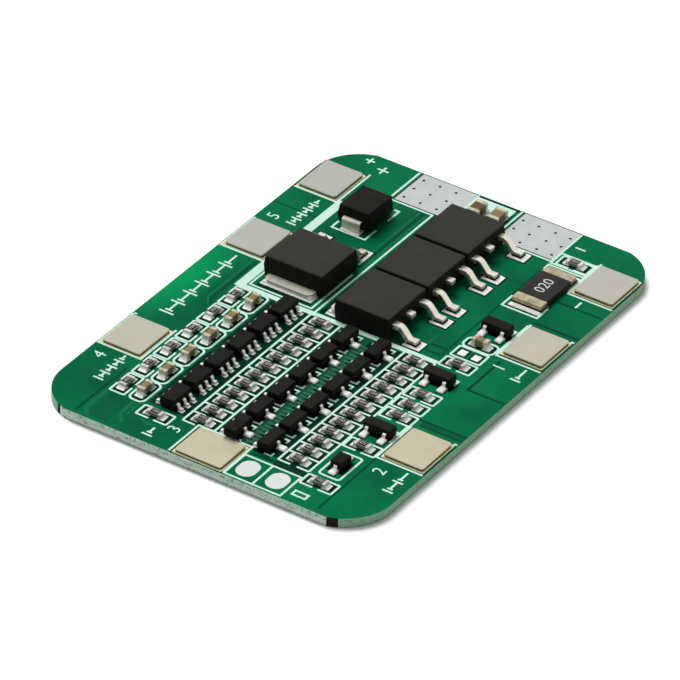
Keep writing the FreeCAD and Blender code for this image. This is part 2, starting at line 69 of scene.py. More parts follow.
# Edges that turn further than this are corners of a strip or a plate
CORNER_ANGLE = math.radians(60)
PROFILE_ROUND = 0.5
# Where an eased edge has its middle point, as a share of the edge
EASED = 0.3
# Depth in millimetres by which a skin reaches down into what it lies on
SINK = 0.01

# Sockets of the Mix node when it mixes colours
MIX_FACTOR = 0
MIX_A = 6
MIX_B = 7
MIX_RESULT = 2

BOARD_LOW, BOARD_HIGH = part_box("circuit_board")
MASK_TOP = BOARD_HIGH.z
# Length of the board between its scored edges, without the torn web
LENGTH = 52.0


# Finishes


def linear(code: str) -> tuple[float, float, float, float]:
    """Turns an sRGB hex colour to the linear colour that a shader takes.

    Args:
        code: The colour as "#rrggbb".

    Returns:
        Red, green, blue and an alpha of 1.
    """
    channels = [int(code[i : i + 2], 16) / 255 for i in (1, 3, 5)]
    red, green, blue = (c / 12.92 if c <= 0.04045 else ((c + 0.055) / 1.055) ** 2.4 for c in channels)
    return red, green, blue, 1.0


def add_node(
    tree: Tree,
    kind: str,
    settings: dict[str | int, object] | None = None,
    links: dict[str | int, Socket] | None = None,
) -> bpy.types.Node:
    """Adds one node with its settings and links.

    Args:
        tree: The node tree to add to.
        kind: The node's type name.
        settings: Values by name: lower-case names are properties of the node, others are its sockets.
        links: The socket that feeds each input.

    Returns:
        The new node.
    """
    node = tree.nodes.new(kind)
    for key, value in (settings or {}).items():
        if isinstance(key, str) and key.islower():
            setattr(node, key, value)
        else:
            node.inputs[key].default_value = value
    for key, source in (links or {}).items():
        tree.links.new(source, node.inputs[key])
    return node


def empty_tree(owner: bpy.types.Material | bpy.types.World) -> Tree:
    """Returns the node tree of a material or a world with nothing in it."""
    owner.use_nodes = True
    owner.node_tree.nodes.clear()
    return owner.node_tree


@dataclass(frozen=True)
class Finish:
    """A surface: two tones in soft patches, a roughness that wanders, and a fine relief.

    Sizes of patterns are in millimetres on the real board.
    """

    name: str
    base: str
    second: str
    patch_size: float
    roughness: float
    grain_size: float
    wander: float = 0.06
    grain_height: float = 0.003
    metallic: float = 0.0
    specular: float = 0.5
    coat: float = 0.0
    patch_contrast: float = 0.25
    stretch: Triple = (1.0, 1.0, 1.0)

    def place(self, tree: Tree) -> Socket:
        """Returns the object coordinates in millimetres, stretched along this finish's grain."""
        source = add_node(tree, "ShaderNodeTexCoord").outputs["Object"]
        scale = tuple(1 / (MM * s) for s in self.stretch)
        return add_node(
            tree, "ShaderNodeMapping", {"vector_type": "POINT", "Scale": scale}, {"Vector": source}
        ).outputs["Vector"]

    def noise(
        self,
        tree: Tree,
        place: Socket,
        size: float,
        low: float,
        high: float,
        contrast: float = 0.25,
    ) -> Socket:
        """Adds a noise of one real size and spreads its middle part between two values.

        Args:
            tree: The node tree.
            place: Coordinates in millimetres.
            size: Size of one patch in millimetres.
            low: Value in the troughs.
            high: Value on the crests.
            contrast: Half the span of the noise that is spread out.

        Returns:
            The socket with the value.
        """
        noise = add_node(
            tree, "ShaderNodeTexNoise", {"Scale": 1 / size, "Detail": 4.0}, {"Vector": place}
        )
        return add_node(
            tree,
            "ShaderNodeMapRange",
            {"From Min": 0.5 - contrast, "From Max": 0.5 + contrast, "To Min": low, "To Max": high},
            {"Value": noise.outputs["Fac"]},
        ).outputs["Result"]

    def blend(self, tree: Tree, factor: Socket, first: str | Socket, second: str | Socket) -> Socket:
        """Mixes two colours, each a hex code or a socket, and returns the socket of the result."""
        settings = {"data_type": "RGBA"}
        links = {MIX_FACTOR: factor}
        for key, colour in ((MIX_A, first), (MIX_B, second)):
            if isinstance(colour, str):
                settings[key] = linear(colour)
            else:
                links[key] = colour
        return add_node(tree, "ShaderNodeMix", settings, links).outputs[MIX_RESULT]

    def colour(self, tree: Tree, place: Socket) -> Socket:
        """Returns the colour of the surface: the base tone with soft patches of the second."""
        patches = self.noise(tree, place, self.patch_size, 0.0, 1.0, self.patch_contrast)
        return self.blend(tree, patches, self.base, self.second)

    def height(self, tree: Tree, place: Socket) -> Socket:
        """Returns the relief of the surface, from 0 to 1."""
        return self.noise(tree, place, self.grain_size, 0.0, 1.0)

    def material(self) -> bpy.types.Material:
        """Returns the material of this finish, made the first time that it is asked for."""
        found = bpy.data.materials.get(self.name)
        if found:
            return found
        made = bpy.data.materials.new(self.name)
        tree = empty_tree(made)
        place = self.place(tree)
        bump = add_node(
            tree,
            "ShaderNodeBump",
            {"Strength": 1.0, "Distance": self.grain_height * MM},
            {"Height": self.height(tree, place)},
        )
        gloss = self.noise(
            tree,
            place,
            self.patch_size / 2,
            self.roughness - self.wander,
            self.roughness + self.wander,
        )
        surface = add_node(
            tree,
            "ShaderNodeBsdfPrincipled",
            {"Metallic": self.metallic, "Specular IOR Level": self.specular, "Coat Weight": self.coat},
            {
                "Base Color": self.colour(tree, place),
                "Roughness": gloss,
                "Normal": bump.outputs["Normal"],
            },
        )
        add_node(tree, "ShaderNodeOutputMaterial", {}, {"Surface": surface.outputs["BSDF"]})
        return made


@dataclass(frozen=True)
class SheetWithPaintedReflection(Finish):
    """A plated sheet whose tone drifts across the board as a painted reflection, with fine rolling lines
    along one axis.
    """

    # Tone of the painted reflection towards the back-left corner
    far: str = "#b9bab3"
    drift: Triple = (-1 / 60, 1 / 40, 0.0)
    drift_ends: Point = (-0.6, 0.5)
    line_size: float = 0.12
    line_stretch: Triple = (1.0, 0.05, 1.0)

    def colour(self, tree: Tree, place: Socket) -> Socket:
        """Returns the two tones of the sheet, drifting to the far tone towards the back-left corner as a
        painted reflection.
        """
        along = add_node(
            tree, "ShaderNodeVectorMath", {"operation": "DOT_PRODUCT", 1: self.drift}, {0: place}
        ).outputs["Value"]
        low, high = self.drift_ends
        share = add_node(
            tree, "ShaderNodeMapRange", {"From Min": low, "From Max": high}, {"Value": along}
        ).outputs["Result"]
        return self.blend(tree, share, super().colour(tree, place), self.far)

    def height(self, tree: Tree, place: Socket) -> Socket:
        """Returns the rolling lines: a noise drawn out twenty times along Y."""
        drawn = add_node(
            tree, "ShaderNodeMapping", {"Scale": self.line_stretch}, {"Vector": place}
        ).outputs["Vector"]
        return self.noise(tree, drawn, self.line_size, 0.0, 1.0)


@dataclass(frozen=True)
class MaskWithPaintedSheen(Finish):
    """Solder mask with a painted sheen: lighter over one long patch at the board's edge."""

    # Colour of the painted sheen
    glow: str = "#069457"
    glow_scale: Triple = (2.2, 1.0, 1.0)
    glow_centre: Triple = (-40.3, -1.5, 1.0)
    glow_reach: Point = (3.0, 9.0)

    def colour(self, tree: Tree, place: Socket) -> Socket:
        """Returns the two tones of the mask with the painted sheen patch over them."""
        scaled = add_node(
            tree, "ShaderNodeVectorMath", {"operation": "MULTIPLY", 1: self.glow_scale}, {0: place}
        ).outputs["Vector"]
        away = add_node(
            tree, "ShaderNodeVectorMath", {"operation": "DISTANCE", 1: self.glow_centre}, {0: scaled}
        ).outputs["Value"]
        near, far = self.glow_reach
        share = add_node(
            tree,
            "ShaderNodeMapRange",
            {"From Min": near, "From Max": far, "To Min": 1.0, "To Max": 0.0},
            {"Value": away},
        ).outputs["Result"]
        return self.blend(tree, share, super().colour(tree, place), self.glow)


@dataclass(frozen=True)
class FleckedGlass(Finish):
    """Cut or broken laminate: glass cloth in layers, with dark flecks of torn resin."""

    fleck: str = "#3f4a38"
    fleck_size: float = 0.25
    fleck_share: float = 0.35
    fleck_contrast: float = 0.12

    def colour(self, tree: Tree, place: Socket) -> Socket:
        """Returns the two tones of the cloth with the flecks over them."""
        flecks = self.noise(tree, place, self.fleck_size, 1.0, 0.0, self.fleck_contrast)
        edge = add_node(
            tree,
            "ShaderNodeMapRange",
            {"From Min": 1 - self.fleck_share, "From Max": 1.0},
            {"Value": flecks},
        ).outputs["Result"]
        return self.blend(tree, edge, super().colour(tree, place), self.fleck)


# Epoxy solder mask, curtain-coated and cured over copper: deep green with a shallow orange peel, and a
# painted sheen over a long patch at the board's left edge
MASK = MaskWithPaintedSheen(
    "solder_mask_epoxy", "#02593a", "#057449",
    patch_size=9.0, roughness=0.34, wander=0.05, grain_size=0.5, specular=0.02, patch_contrast=0.16,
)
# The same mask where no copper lies under it: darker, because the laminate shows through; it is also laid
# as painted shade over the ground between the two transistor columns
MASK_BARE_AND_SHADE = Finish(
    "solder_mask_over_laminate_and_painted_shade", "#055138", "#085d40",
    patch_size=3.0, roughness=0.36, wander=0.05, grain_size=0.4, specular=0.02,
)
# Mask that has sunk into a narrow gap between two copper areas: a dark line
MASK_SEAM = Finish(
    "solder_mask_in_a_gap", "#04402f", "#064c37",
    patch_size=3.0, roughness=0.36, wander=0.05, grain_size=0.4, specular=0.02,
)
# Mask between close-set lands and round the chips, stained by flux and darkened by painted shade: nearly
# black, with green showing in patches
MASK_STAIN_AND_SHADE = Finish(
    "solder_mask_flux_stain_and_painted_shade", "#021d15", "#053c2b",
    patch_size=1.2, roughness=0.3, grain_size=0.3, grain_height=0.004,
    specular=0.02, patch_contrast=0.14,
)
# Mask round the small packages, under caked flux and with their shadow painted on: black-green
MASK_CAKED_AND_SHADOW = Finish(
    "solder_mask_under_flux_and_painted_shadow", "#020f0b", "#04211a",
    patch_size=0.9, roughness=0.34, grain_size=0.25, grain_height=0.004, specular=0.02,
)
# Mask over a raised track: a little lighter on its crown
MASK_TRACK = Finish(
    "solder_mask_over_track", "#14754b", "#0d6a43",
    patch_size=2.0, roughness=0.34, wander=0.05, grain_size=0.4, specular=0.03,
)
# Mask over the fine tracks between the transistors, dulled by flux
MASK_RUNG = Finish(
    "solder_mask_over_fine_track", "#3b7d60", "#2a6a50",
    patch_size=1.0, roughness=0.34, wander=0.05, grain_size=0.3, specular=0.02,
)
# Mask that a film of flux has greyed between the transistors
MASK_DULLED = Finish(
    "solder_mask_with_flux_film", "#1f5a42", "#174c38",
    patch_size=1.4, roughness=0.4, grain_size=0.3, grain_height=0.004, specular=0.03,
)
# Glass-epoxy laminate, cut by a router: dull green, the layers of cloth lie as faint level lines
ROUTED = FleckedGlass(
    "glass_epoxy_routed", "#b0dfbb", "#9cc9a8",
    patch_size=0.5, roughness=0.75, wander=0.08, grain_size=0.12, grain_height=0.008,
    specular=0.2, stretch=(3.0, 3.0, 0.3), fleck="#7d9d85", fleck_share=0.2,
)
# The same laminate, cut by the scoring blade: pale mint, with cutter marks across the flank
SCORED = FleckedGlass(
    "glass_epoxy_scored", "#d6eee0", "#b3d2bd",
    patch_size=0.35, roughness=0.8, wander=0.08, grain_size=0.1, grain_height=0.006,
    specular=0.3, fleck="#86a792", fleck_share=0.2,
)
# The web that was snapped: torn white cloth, with dark slits between its layers
SNAPPED = FleckedGlass(
    "glass_epoxy_snapped", "#f0fff4", "#e2f4e6",
    patch_size=0.3, roughness=0.9, wander=0.05, grain_size=0.12, grain_height=0.015,
    specular=0.3, fleck="#6f7368", fleck_size=0.22, fleck_share=0.2, stretch=(5.0, 1.0, 0.45),
)
# Resin charred by the router where it leaves the score
CHARRED = Finish(
    "glass_epoxy_charred", "#14130e", "#2a271b",
    patch_size=0.2, roughness=0.8, wander=0.1, grain_size=0.08, grain_height=0.01, specular=0.1,
)
# Nickel-plated steel strip, rolled: satin; its drift from warm in front to cooler towards the back-left
# corner is a painted reflection
NICKEL = SheetWithPaintedReflection(
    "nickel_plated_sheet", "#d3ccb0", "#c6bfa2",
    patch_size=3.0, roughness=0.36, wander=0.05, grain_size=0.12, grain_height=0.0012, metallic=1.0,
)
# Sheared or cropped sides of sheet metal, where the plating stops: dulled, and darkened to an olive brown
# as painted shade
SHEARED_AND_SHADED = Finish(
    "sheared_strip_edge_and_painted_shade", "#4a4730", "#6b6646",
    patch_size=0.5, roughness=0.5, wander=0.08, grain_size=0.08, grain_height=0.004,
    metallic=0.5, specular=0.2,
)
# Drafted sides of a moulding: blacker than its eroded top, as painted shade
MOULDED_SIDE_PAINTED_SHADE = Finish(
    "moulding_compound_side_painted_shade", "#161613", "#1d1d19",
    patch_size=0.8, roughness=0.6, grain_size=0.08, specular=0.05,
)
# Immersion gold over nickel: pale olive-yellow metal, silky
GOLD = Finish(
    "immersion_gold_copper", "#e8e7be", "#cfcd98",
    patch_size=0.9, roughness=0.36, grain_size=0.15, metallic=0.55,
)
# Hot-air-levelled tin: cool white metal with shallow waves
LEVELLED = Finish(
    "levelled_tin", "#cdd1d0", "#c0c5c5",
    patch_size=2.2, roughness=0.36, grain_size=0.8, grain_height=0.004, metallic=1.0,
)
# The same tin on the small oval lands, freshly levelled: nearly white
LEVELLED_FRESH = Finish(
    "levelled_tin_fresh", "#e6ece8", "#dbe2de",
    patch_size=1.2, roughness=0.4, wander=0.05, grain_size=0.5, metallic=0.8,
)
# Reflowed lead-free solder: bright, with a slightly frosted skin
SOLDER = Finish(
    "reflowed_solder", "#fafbf7", "#eaece8",
    patch_size=0.35, roughness=0.3, wander=0.1, grain_size=0.22, metallic=0.3,
)
# Solder paste melted out over a wide land: duller, with a mottled skin
PASTED = Finish(
    "reflowed_paste_skin", "#f4f3ec", "#d6d5cb",
    patch_size=0.5, roughness=0.36, wander=0.1, grain_size=0.18, grain_height=0.004,
    metallic=0.6, patch_contrast=0.1,
)
# Flux left round a joint: a brown-black varnish, also laid as painted shade in a band round the foot of a
# lead
FLUX_AND_SHADE = Finish(
    "flux_residue_and_painted_shade", "#150d08", "#2b1b13",
    patch_size=0.3, roughness=0.4, wander=0.08, grain_size=0.1, grain_height=0.004, specular=0.1,
)
# Tin over the ends of the shunt, rubbed and oxidised: beige, with darker patches
WORN_TIN = Finish(
    "worn_tin_plate", "#cdc2a6", "#a2977c",
    patch_size=0.6, roughness=0.5, wander=0.08, grain_size=0.12, grain_height=0.002,
    metallic=0.5, specular=0.3, patch_contrast=0.14,
)
# Matt tin electroplate on heat tabs and folded strips: cream-white, with a wide soft lustre
TIN_PLATE = Finish(
    "matt_tin_plate", "#e8e3d4", "#d2cdbb",
    patch_size=0.7, roughness=0.46, grain_size=0.07, grain_height=0.001, metallic=0.4, specular=0.3,
)
# The same plate on the fine legs, brightened where solder has run up: nearly white
LEG_TIN = Finish(
    "bright_tin_plate", "#faf8f2", "#ece9e0",
    patch_size=0.4, roughness=0.32, grain_size=0.07, grain_height=0.001, metallic=0.3,
)
# The thick stamped leads of the switches: the same plate, burnished by the die to a mirror
LEAD_TIN = Finish(
    "burnished_tin_plate", "#efebdf", "#dcd7c8",
    patch_size=0.7, roughness=0.36, grain_size=0.07, grain_height=0.001, metallic=0.85,
)
# Barrel-plated tin over the ends of the chips: pale, with grey patches worn by the tumbling
BARREL_TIN = Finish(
    "barrel_plated_tin", "#eeebe2", "#bab7ae",
    patch_size=0.3, roughness=0.32, wander=0.08, grain_size=0.12, grain_height=0.004,
    metallic=0.65, patch_contrast=0.14,
)
# Tin over the fired ends of the ceramic capacitors: warmer, with the ceramic's tone in its shade
FIRED_TIN = Finish(
    "tin_over_fired_end", "#dfd6c0", "#b3a990",
    patch_size=0.3, roughness=0.36, wander=0.08, grain_size=0.1, grain_height=0.004,
    metallic=0.7, patch_contrast=0.12,
)
# Epoxy moulding compound with silica filler, moulded against an eroded die: matt, nearly black
MOULDING = Finish(
    "epoxy_moulding_compound", "#2b2b26", "#32312b",
    patch_size=1.6, roughness=0.6, grain_size=0.07, specular=0.12,
)
# The finer compound of the small packages: blacker and smoother
FINE_MOULDING = Finish(
    "fine_moulding_compound", "#1b1b19", "#232220",
    patch_size=0.8, roughness=0.5, wander=0.08, grain_size=0.06, specular=0.03,
)
# Pressed alumina, snapped from its plate: chalky, and darkened to mid grey as painted shade on the chips'
# sides
ALUMINA_PAINTED_SHADE = Finish(
    "pressed_alumina_painted_shade", "#8f8d86", "#74726b",
    patch_size=0.4, roughness=0.62, grain_size=0.08, specular=0.2,
)
# Lead-free glass glaze, screen-printed and fired over the resistor: black and glossy
GLAZE = Finish(
    "fired_black_glaze", "#100f10", "#181617",
    patch_size=0.3, roughness=0.3, grain_size=0.12, grain_height=0.002, specular=0.15,
)
# Printed and fired marking ink: chalky white
MARKING = Finish(
    "fired_marking_ink", "#e0dfdc", "#c4c2be",
    patch_size=0.2, roughness=0.6, wander=0.05, grain_size=0.06, grain_height=0.001, specular=0.3,
)
# Barium titanate ceramic, fired in layers: waxy olive tan
TITANATE = Finish(
    "fired_titanate_ceramic", "#91805a", "#786a49",
    patch_size=0.5, roughness=0.45, grain_size=0.1, specular=0.2,
)
# The denser ceramic of the two larger capacitors: dark brown
DARK_TITANATE = Finish(
    "fired_titanate_dark", "#695537", "#4f3f29",
    patch_size=0.5, roughness=0.42, grain_size=0.1, specular=0.2,
)
# Epoxy coating over a resistance-alloy strip: black, slightly pebbled
ALLOY_COAT = Finish(
    "epoxy_coated_alloy", "#151413", "#1e1c1b",
    patch_size=0.8, roughness=0.5, grain_size=0.1, grain_height=0.005, specular=0.2,
)
# Legend ink, ink-jet printed and baked: pale mint where the mask shines through its thin edge
LEGEND_INK = Finish(
    "epoxy_legend_ink", "#dcf7ea", "#c2ecda",
    patch_size=0.7, roughness=0.6, wander=0.05, grain_size=0.12, specular=0.2,
)


# Shaping


@dataclass(frozen=True)
class Extent:
    """The box of one solid, in metres."""

    low: Vector
    high: Vector

    @property
    def centre(self) -> Vector:
        """The middle of the box."""
        return (self.low + self.high) / 2

    @property
    def size(self) -> Vector:
        """The lengths of its sides."""
        return self.high - self.low

    @property
    def lies_along_x(self) -> bool:
        """Whether the box is longer along X than along Y."""
        return self.size.x > self.size.y

    @property
    def shorter(self) -> float:
        """The shorter of its level sides."""
        return min(self.size.x, self.size.y)

    @staticmethod
    def around(points: Iterable[Vector]) -> "Extent":
        """Returns the box round some points."""
        parts = list(zip(*points))
        return Extent(Vector(map(min, parts)), Vector(map(max, parts)))

    @staticmethod
    def of_node(node: str) -> "Extent":
        """Returns the box of a whole node of the frame."""
        return Extent(*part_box(node))

    def inset(self, x: float, y: float | None = None) -> "Extent":
        """Returns the box drawn in by so many metres at each side, and by as much along Y."""
        step = Vector((x, x if y is None else y, 0))
        return Extent(self.low + step, self.high - step)

    def reaching(self, step: Vector) -> "Extent":
        """Returns the box drawn out by a step, at the side that the step points to."""
        low = Vector([min(part, 0.0) for part in step])
        high = Vector([max(part, 0.0) for part in step])
        return Extent(self.low + low, self.high + high)

    def toward(self, other: "Extent", share: float) -> "Extent":
        """Returns the box between this one and another, level by level."""
        return Extent(self.low.lerp(other.low, share), self.high.lerp(other.high, share))


class Facing(Enum):
    """The way that a lead or a heat tab points on the board."""

    RIGHT = Vector((1, 0, 0))
    LEFT = Vector((-1, 0, 0))
    BACK = Vector((0, 1, 0))
    FRONT = Vector((0, -1, 0))

    @property
    def side(self) -> Vector:
        """The direction to the left of this one, seen from above."""
        return Vector((-self.value.y, self.value.x, 0))

    @property
    def opposite(self) -> "Facing":
        """The other way."""
        return Facing.of(-self.value)

    @staticmethod
    def of(direction: Vector) -> "Facing":
        """Returns the way nearest to a direction."""
        return max(Facing, key=lambda way: way.value.dot(direction))


def extents(node: str) -> list[Extent]:
    """Lists the boxes of the separate solids of a node of the frame.

    Args:
        node: The node's name.

    Returns:
        One box for each solid, in the order of the node's mesh.
    """
    shape = bmesh.new()
    shape.from_mesh(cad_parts[node].data)
    bmesh.ops.remove_doubles(shape, verts=shape.verts, dist=MERGE_DISTANCE)
    found = []
    for start in shape.verts:
        if start.tag:
            continue
        start.tag = True
        solid = [start]
        for vert in solid:
            for edge in vert.link_edges:
                other = edge.other_vert(vert)
                if not other.tag:
                    other.tag = True
                    solid.append(other)
        found.append(Extent.around(vert.co for vert in solid))
    shape.free()
    return found


def board_point(x: float, y: float, z: float = 0.0) -> Vector:
    """Turns millimetres from the board's front-left corner, and above its mask, to a place in metres."""
    return Vector((BOARD_LOW.x + x * MM, -LENGTH / 2 * MM + y * MM, MASK_TOP + z * MM))


def on_board(point: Vector) -> Point:
    """Turns a place in metres to millimetres from the board's front-left corner."""
    return (point.x - BOARD_LOW.x) / MM, (point.y + LENGTH / 2 * MM) / MM


def is_upright(edge: Edge) -> bool:
    """Tells whether an edge stands along Z, to about two degrees."""
    run = edge.verts[1].co - edge.verts[0].co
    least_share = 0.999
    return abs(run.z) > least_share * run.length


def corner_edges(faces: Iterable[Face]) -> list[Edge]:
    """Lists the edges of some faces at which the shape turns a corner."""
    edges = {edge for face in faces for edge in face.edges}
    return [edge for edge in edges if edge.calc_face_angle(0.0) > CORNER_ANGLE]


def foot_outline(toe: Vector, length: float, width: float, facing: Facing) -> Extent:
    """Returns the box of a foot, so many millimetres long and wide, that ends at its toe."""
    heel = toe - facing.value * (length * MM)
    half = facing.side * (width / 2 * MM)
    return Extent.around([toe + half, toe - half, heel + half, heel - half])


def level_frame(extent: Extent, z: float) -> Matrix:
    """Returns the matrix that spreads a unit square over a box, at height z."""
    size, centre = extent.size, extent.centre
    return Matrix.Translation((centre.x, centre.y, z)) @ Matrix.Diagonal((size.x, size.y, 1, 1))


def strip_frames(
    path: Sequence[tuple[float, float]],
    sheet: float,
    width: float,
    bend_radius: float,
    root: Vector,
    facing: Facing,
    steps: int = 4,
) -> list[Matrix]:
    """Works out the cross-sections of a bent strip.

    Args:
        path: Points of the strip's middle line as (reach, height) in millimetres.
        sheet: Thickness of the strip in millimetres.
        width: Its width in millimetres.
        bend_radius: Radius of its middle line at a bend, in millimetres.
        root: The place in metres from which the path is measured.
        facing: The way that the strip reaches.
        steps: Cross-sections in each bend.

    Returns:
        One matrix for each cross-section, which spreads a unit square over it.
    """
    ends = list(zip(path, path[1:]))
    angles = [math.atan2(b[1] - a[1], b[0] - a[0]) for a, b in ends]
    stations = [(path[0], angles[0])]
    for point, before, after in zip(path[1:-1], angles, angles[1:]):
        turn = (after - before + math.pi) % (2 * math.pi) - math.pi
        sign = math.copysign(1.0, turn)
        tangent = bend_radius * math.tan(abs(turn) / 2)
        entry = (point[0] - tangent * math.cos(before), point[1] - tangent * math.sin(before))
        centre = (
            entry[0] - sign * bend_radius * math.sin(before),
            entry[1] + sign * bend_radius * math.cos(before),
        )
        for step in range(steps + 1):
            angle = before + turn * step / steps
            place = (
                centre[0] + sign * bend_radius * math.sin(angle),
                centre[1] - sign * bend_radius * math.cos(angle),
            )
            stations.append((place, angle))
    stations.append((path[-1], angles[-1]))
    frames = []
    for (reach, height), angle in stations:
        along = facing.value * math.cos(angle) + Vector((0, 0, math.sin(angle)))
        normal = -facing.value * math.sin(angle) + Vector((0, 0, math.cos(angle)))
        place = root + facing.value * (reach * MM) + Vector((0, 0, height * MM))
        axes = Matrix((normal, facing.side, along)).transposed().to_4x4()
        spread = Matrix.Diagonal((sheet * MM, width * MM, 1, 1))
        frames.append(Matrix.Translation(place) @ axes @ spread)
    return frames


class Form:
    """A mesh in the making, shaped with bmesh operators. All its measures are in metres."""

    def __init__(self) -> None:
        """Starts an empty mesh."""
        self.mesh = bmesh.new()

    def loft(
        self,
        frames: Sequence[Matrix],
        material: int = 0,
        corner: float = 0.0,
        segments: int = 3,
        crown: int | None = None,
    ) -> list[Face]:
        """Extrudes a rectangle through a row of cross-sections.

        Args:
            frames: The matrix that spreads a unit square over each cross-section.
            material: Material index of the faces.
            corner: Radius of the corners of the first cross-section.
            segments: Faces round each corner.
            crown: Material index of the last face, if it has one of its own.

        Returns:
            All the faces.
        """
        verts = bmesh.ops.create_grid(self.mesh, x_segments=1, y_segments=1, size=0.5)["verts"]
        face = verts[0].link_faces[0]
        bmesh.ops.transform(self.mesh, matrix=frames[0], verts=verts)
        if corner > 0:
            cut = self.bevel(verts, corner, segments, "VERTICES")
            face = next(f for v in cut for f in v.link_faces)
        faces = [face]
        for before, after in zip(frames, frames[1:]):
            made = bmesh.ops.extrude_face_region(self.mesh, geom=[face])["geom"]
            moved = [g for g in made if isinstance(g, Vert)]
            face = next(g for g in made if isinstance(g, Face))
            bmesh.ops.transform(self.mesh, matrix=after @ before.inverted(), verts=moved)
            faces.extend({f for v in moved for f in v.link_faces} - set(faces))
        for one in faces:
            one.material_index = material
        if crown is not None:
            face.material_index = crown
        return faces

    def levels(self, steps: Sequence[tuple[Extent, float]], **options: float | int | None) -> list[Face]:
        """Lofts through rectangles that lie level, each given as (box seen from above, height)."""
        return self.loft([level_frame(extent, z) for extent, z in steps], **options)

    def soften(self, edges: Iterable[Edge], radius: float, segments: int = 2) -> None:
        """Rounds edges, or crops them where one segment is asked for."""
        self.bevel(edges, radius, segments, "EDGES")

    def bevel(
        self, geometry: Iterable[Vert | Edge], offset: float, segments: int, affect: str
    ) -> list[Vert]:
        """Bevels corners or edges, in the mesh's own order, and returns the corners that this makes."""
        for parts in (self.mesh.verts, self.mesh.edges):
            parts.index_update()
        return bmesh.ops.bevel(
            self.mesh,
            geom=sorted(geometry, key=lambda part: part.index),
            offset=offset,
            segments=segments,
            profile=PROFILE_ROUND,
            affect=affect,
            material=-1,
            clamp_overlap=affect == "EDGES",
        )["verts"]

    def skin(self, extent: Extent, rise: float, material: int = 0) -> None:
        """Lays a flat skin on the mask, so many millimetres high."""
        steps = [(extent, MASK_TOP - SINK * MM), (extent, MASK_TOP + rise * MM)]
        self.levels(steps, material=material)

    def soft_block(self, extent: Extent, radius: float, material: int = 0, segments: int = 2) -> None:
        """Makes a block with all its edges rounded."""
        faces = self.levels([(extent, extent.low.z), (extent, extent.high.z)], material=material)
        self.soften({edge for face in faces for edge in face.edges}, radius, segments)

    def add(self, mesh: Mesh, place: Matrix, material: int = 0) -> None:
        """Adds a copy of a mesh at a place."""
        copy = mesh.copy()
        copy.transform(place)
        before = len(self.mesh.faces)
        self.mesh.from_mesh(copy)
        self.mesh.faces.ensure_lookup_table()
        for face in self.mesh.faces[before:]:
            face.material_index = material
        bpy.data.meshes.remove(copy)

    def rod(self, centre: Vector, radius: float, depth: float, segments: int = 16) -> None:
        """Makes an upright cylinder about a point."""
        bmesh.ops.create_cone(
            self.mesh,
            cap_ends=True,
            segments=segments,
            radius1=radius,
            radius2=radius,
            depth=depth,
            matrix=Matrix.Translation(centre),
        )

    def to_mesh(self, name: str, finishes: Sequence[Finish] = ()) -> Mesh:
        """Turns the form to a mesh with its faces outwards, and lets the form go.

        Args:
            name: The mesh's name.
            finishes: A finish for each material index.

        Returns:
            The mesh.
        """
        bmesh.ops.recalc_face_normals(self.mesh, faces=self.mesh.faces)
        mesh = bpy.data.meshes.new(name)
        for finish in finishes:
            mesh.materials.append(finish.material())
        self.mesh.to_mesh(mesh)
        self.mesh.free()
        return mesh


def put(name: str, data: bpy.types.ID) -> bpy.types.Object:
    """Makes an object of some data and links it to the scene."""
    made = bpy.data.objects.new(name, data)
    bpy.context.scene.collection.objects.link(made)
    return made


def taken_from(holder: bpy.types.Object) -> Mesh:
    """Returns the mesh that an object shows, and lets the object go."""
    graph = bpy.context.evaluated_depsgraph_get()
    mesh = bpy.data.meshes.new_from_object(holder.evaluated_get(graph))
    bpy.data.objects.remove(holder)
    return mesh


def through_modifier(mesh: Mesh, kind: str, settings: dict[str, object]) -> Mesh:
    """Runs one modifier over a mesh.

    Args:
        mesh: The mesh to change.
        kind: The modifier's type.
        settings: Its properties.

    Returns:
        The new mesh.
    """
    holder = put("holder", mesh)
    modifier = holder.modifiers.new("step", kind)
    for key, value in settings.items():
        setattr(modifier, key, value)
    return taken_from(holder)


def carve(mesh: Mesh, cutter: Form) -> Mesh:
    """Cuts a form out of a mesh and returns the rest."""
    tool = put("cutter", cutter.to_mesh("cutter"))
    settings = {"operation": "DIFFERENCE", "solver": "EXACT", "object": tool}
    result = through_modifier(mesh, "BOOLEAN", settings)
    bpy.data.objects.remove(tool)
    return result


def lettering(text: str, height: float, thickness: float) -> Mesh:
    """Makes plain digits or signs as a thin mesh about the origin.

    Args:
        text: The digits or signs.
        height: Height of a digit in millimetres.
        thickness: Thickness of the ink in millimetres.

    Returns:
        The mesh, lying level.
    """
    digit_share = 0.73
    words = bpy.data.curves.new("words", "FONT")
    words.body = text
    words.size = height / digit_share * MM
    words.extrude = thickness / 2 * MM
    words.align_x = "CENTER"
    words.align_y = "CENTER"
    words.resolution_u = 3
    return taken_from(put("words", words))


def set_piece(
    name: str,
    shape: Form | Mesh,
    finishes: Sequence[Finish],
    replaced: Sequence[str] = (),
) -> bpy.types.Object:
    """Makes a finished piece of the board and hands it to the frame.

    Args:
        name: The piece's name.
        shape: Its form or mesh, already in place.
        finishes: A finish for each material index.
        replaced: The nodes of the frame that it stands for.

    Returns:
        The new object.
    """
    mesh = shape.to_mesh(name, finishes) if isinstance(shape, Form) else shape
    mesh.name = name
    for finish in finishes[len(mesh.materials) :]:
        mesh.materials.append(finish.material())
    mesh.shade_smooth()
    mesh.set_sharp_from_angle(angle=SHARP_ANGLE)
    piece = put(name, mesh)
    even = piece.modifiers.new("even_normals", "WEIGHTED_NORMAL")
    even.keep_sharp = True
    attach(piece, BODY)
    if replaced:
        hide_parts(*replaced)
    LOG.info("%s: %d faces", name, len(mesh.polygons))
    return piece


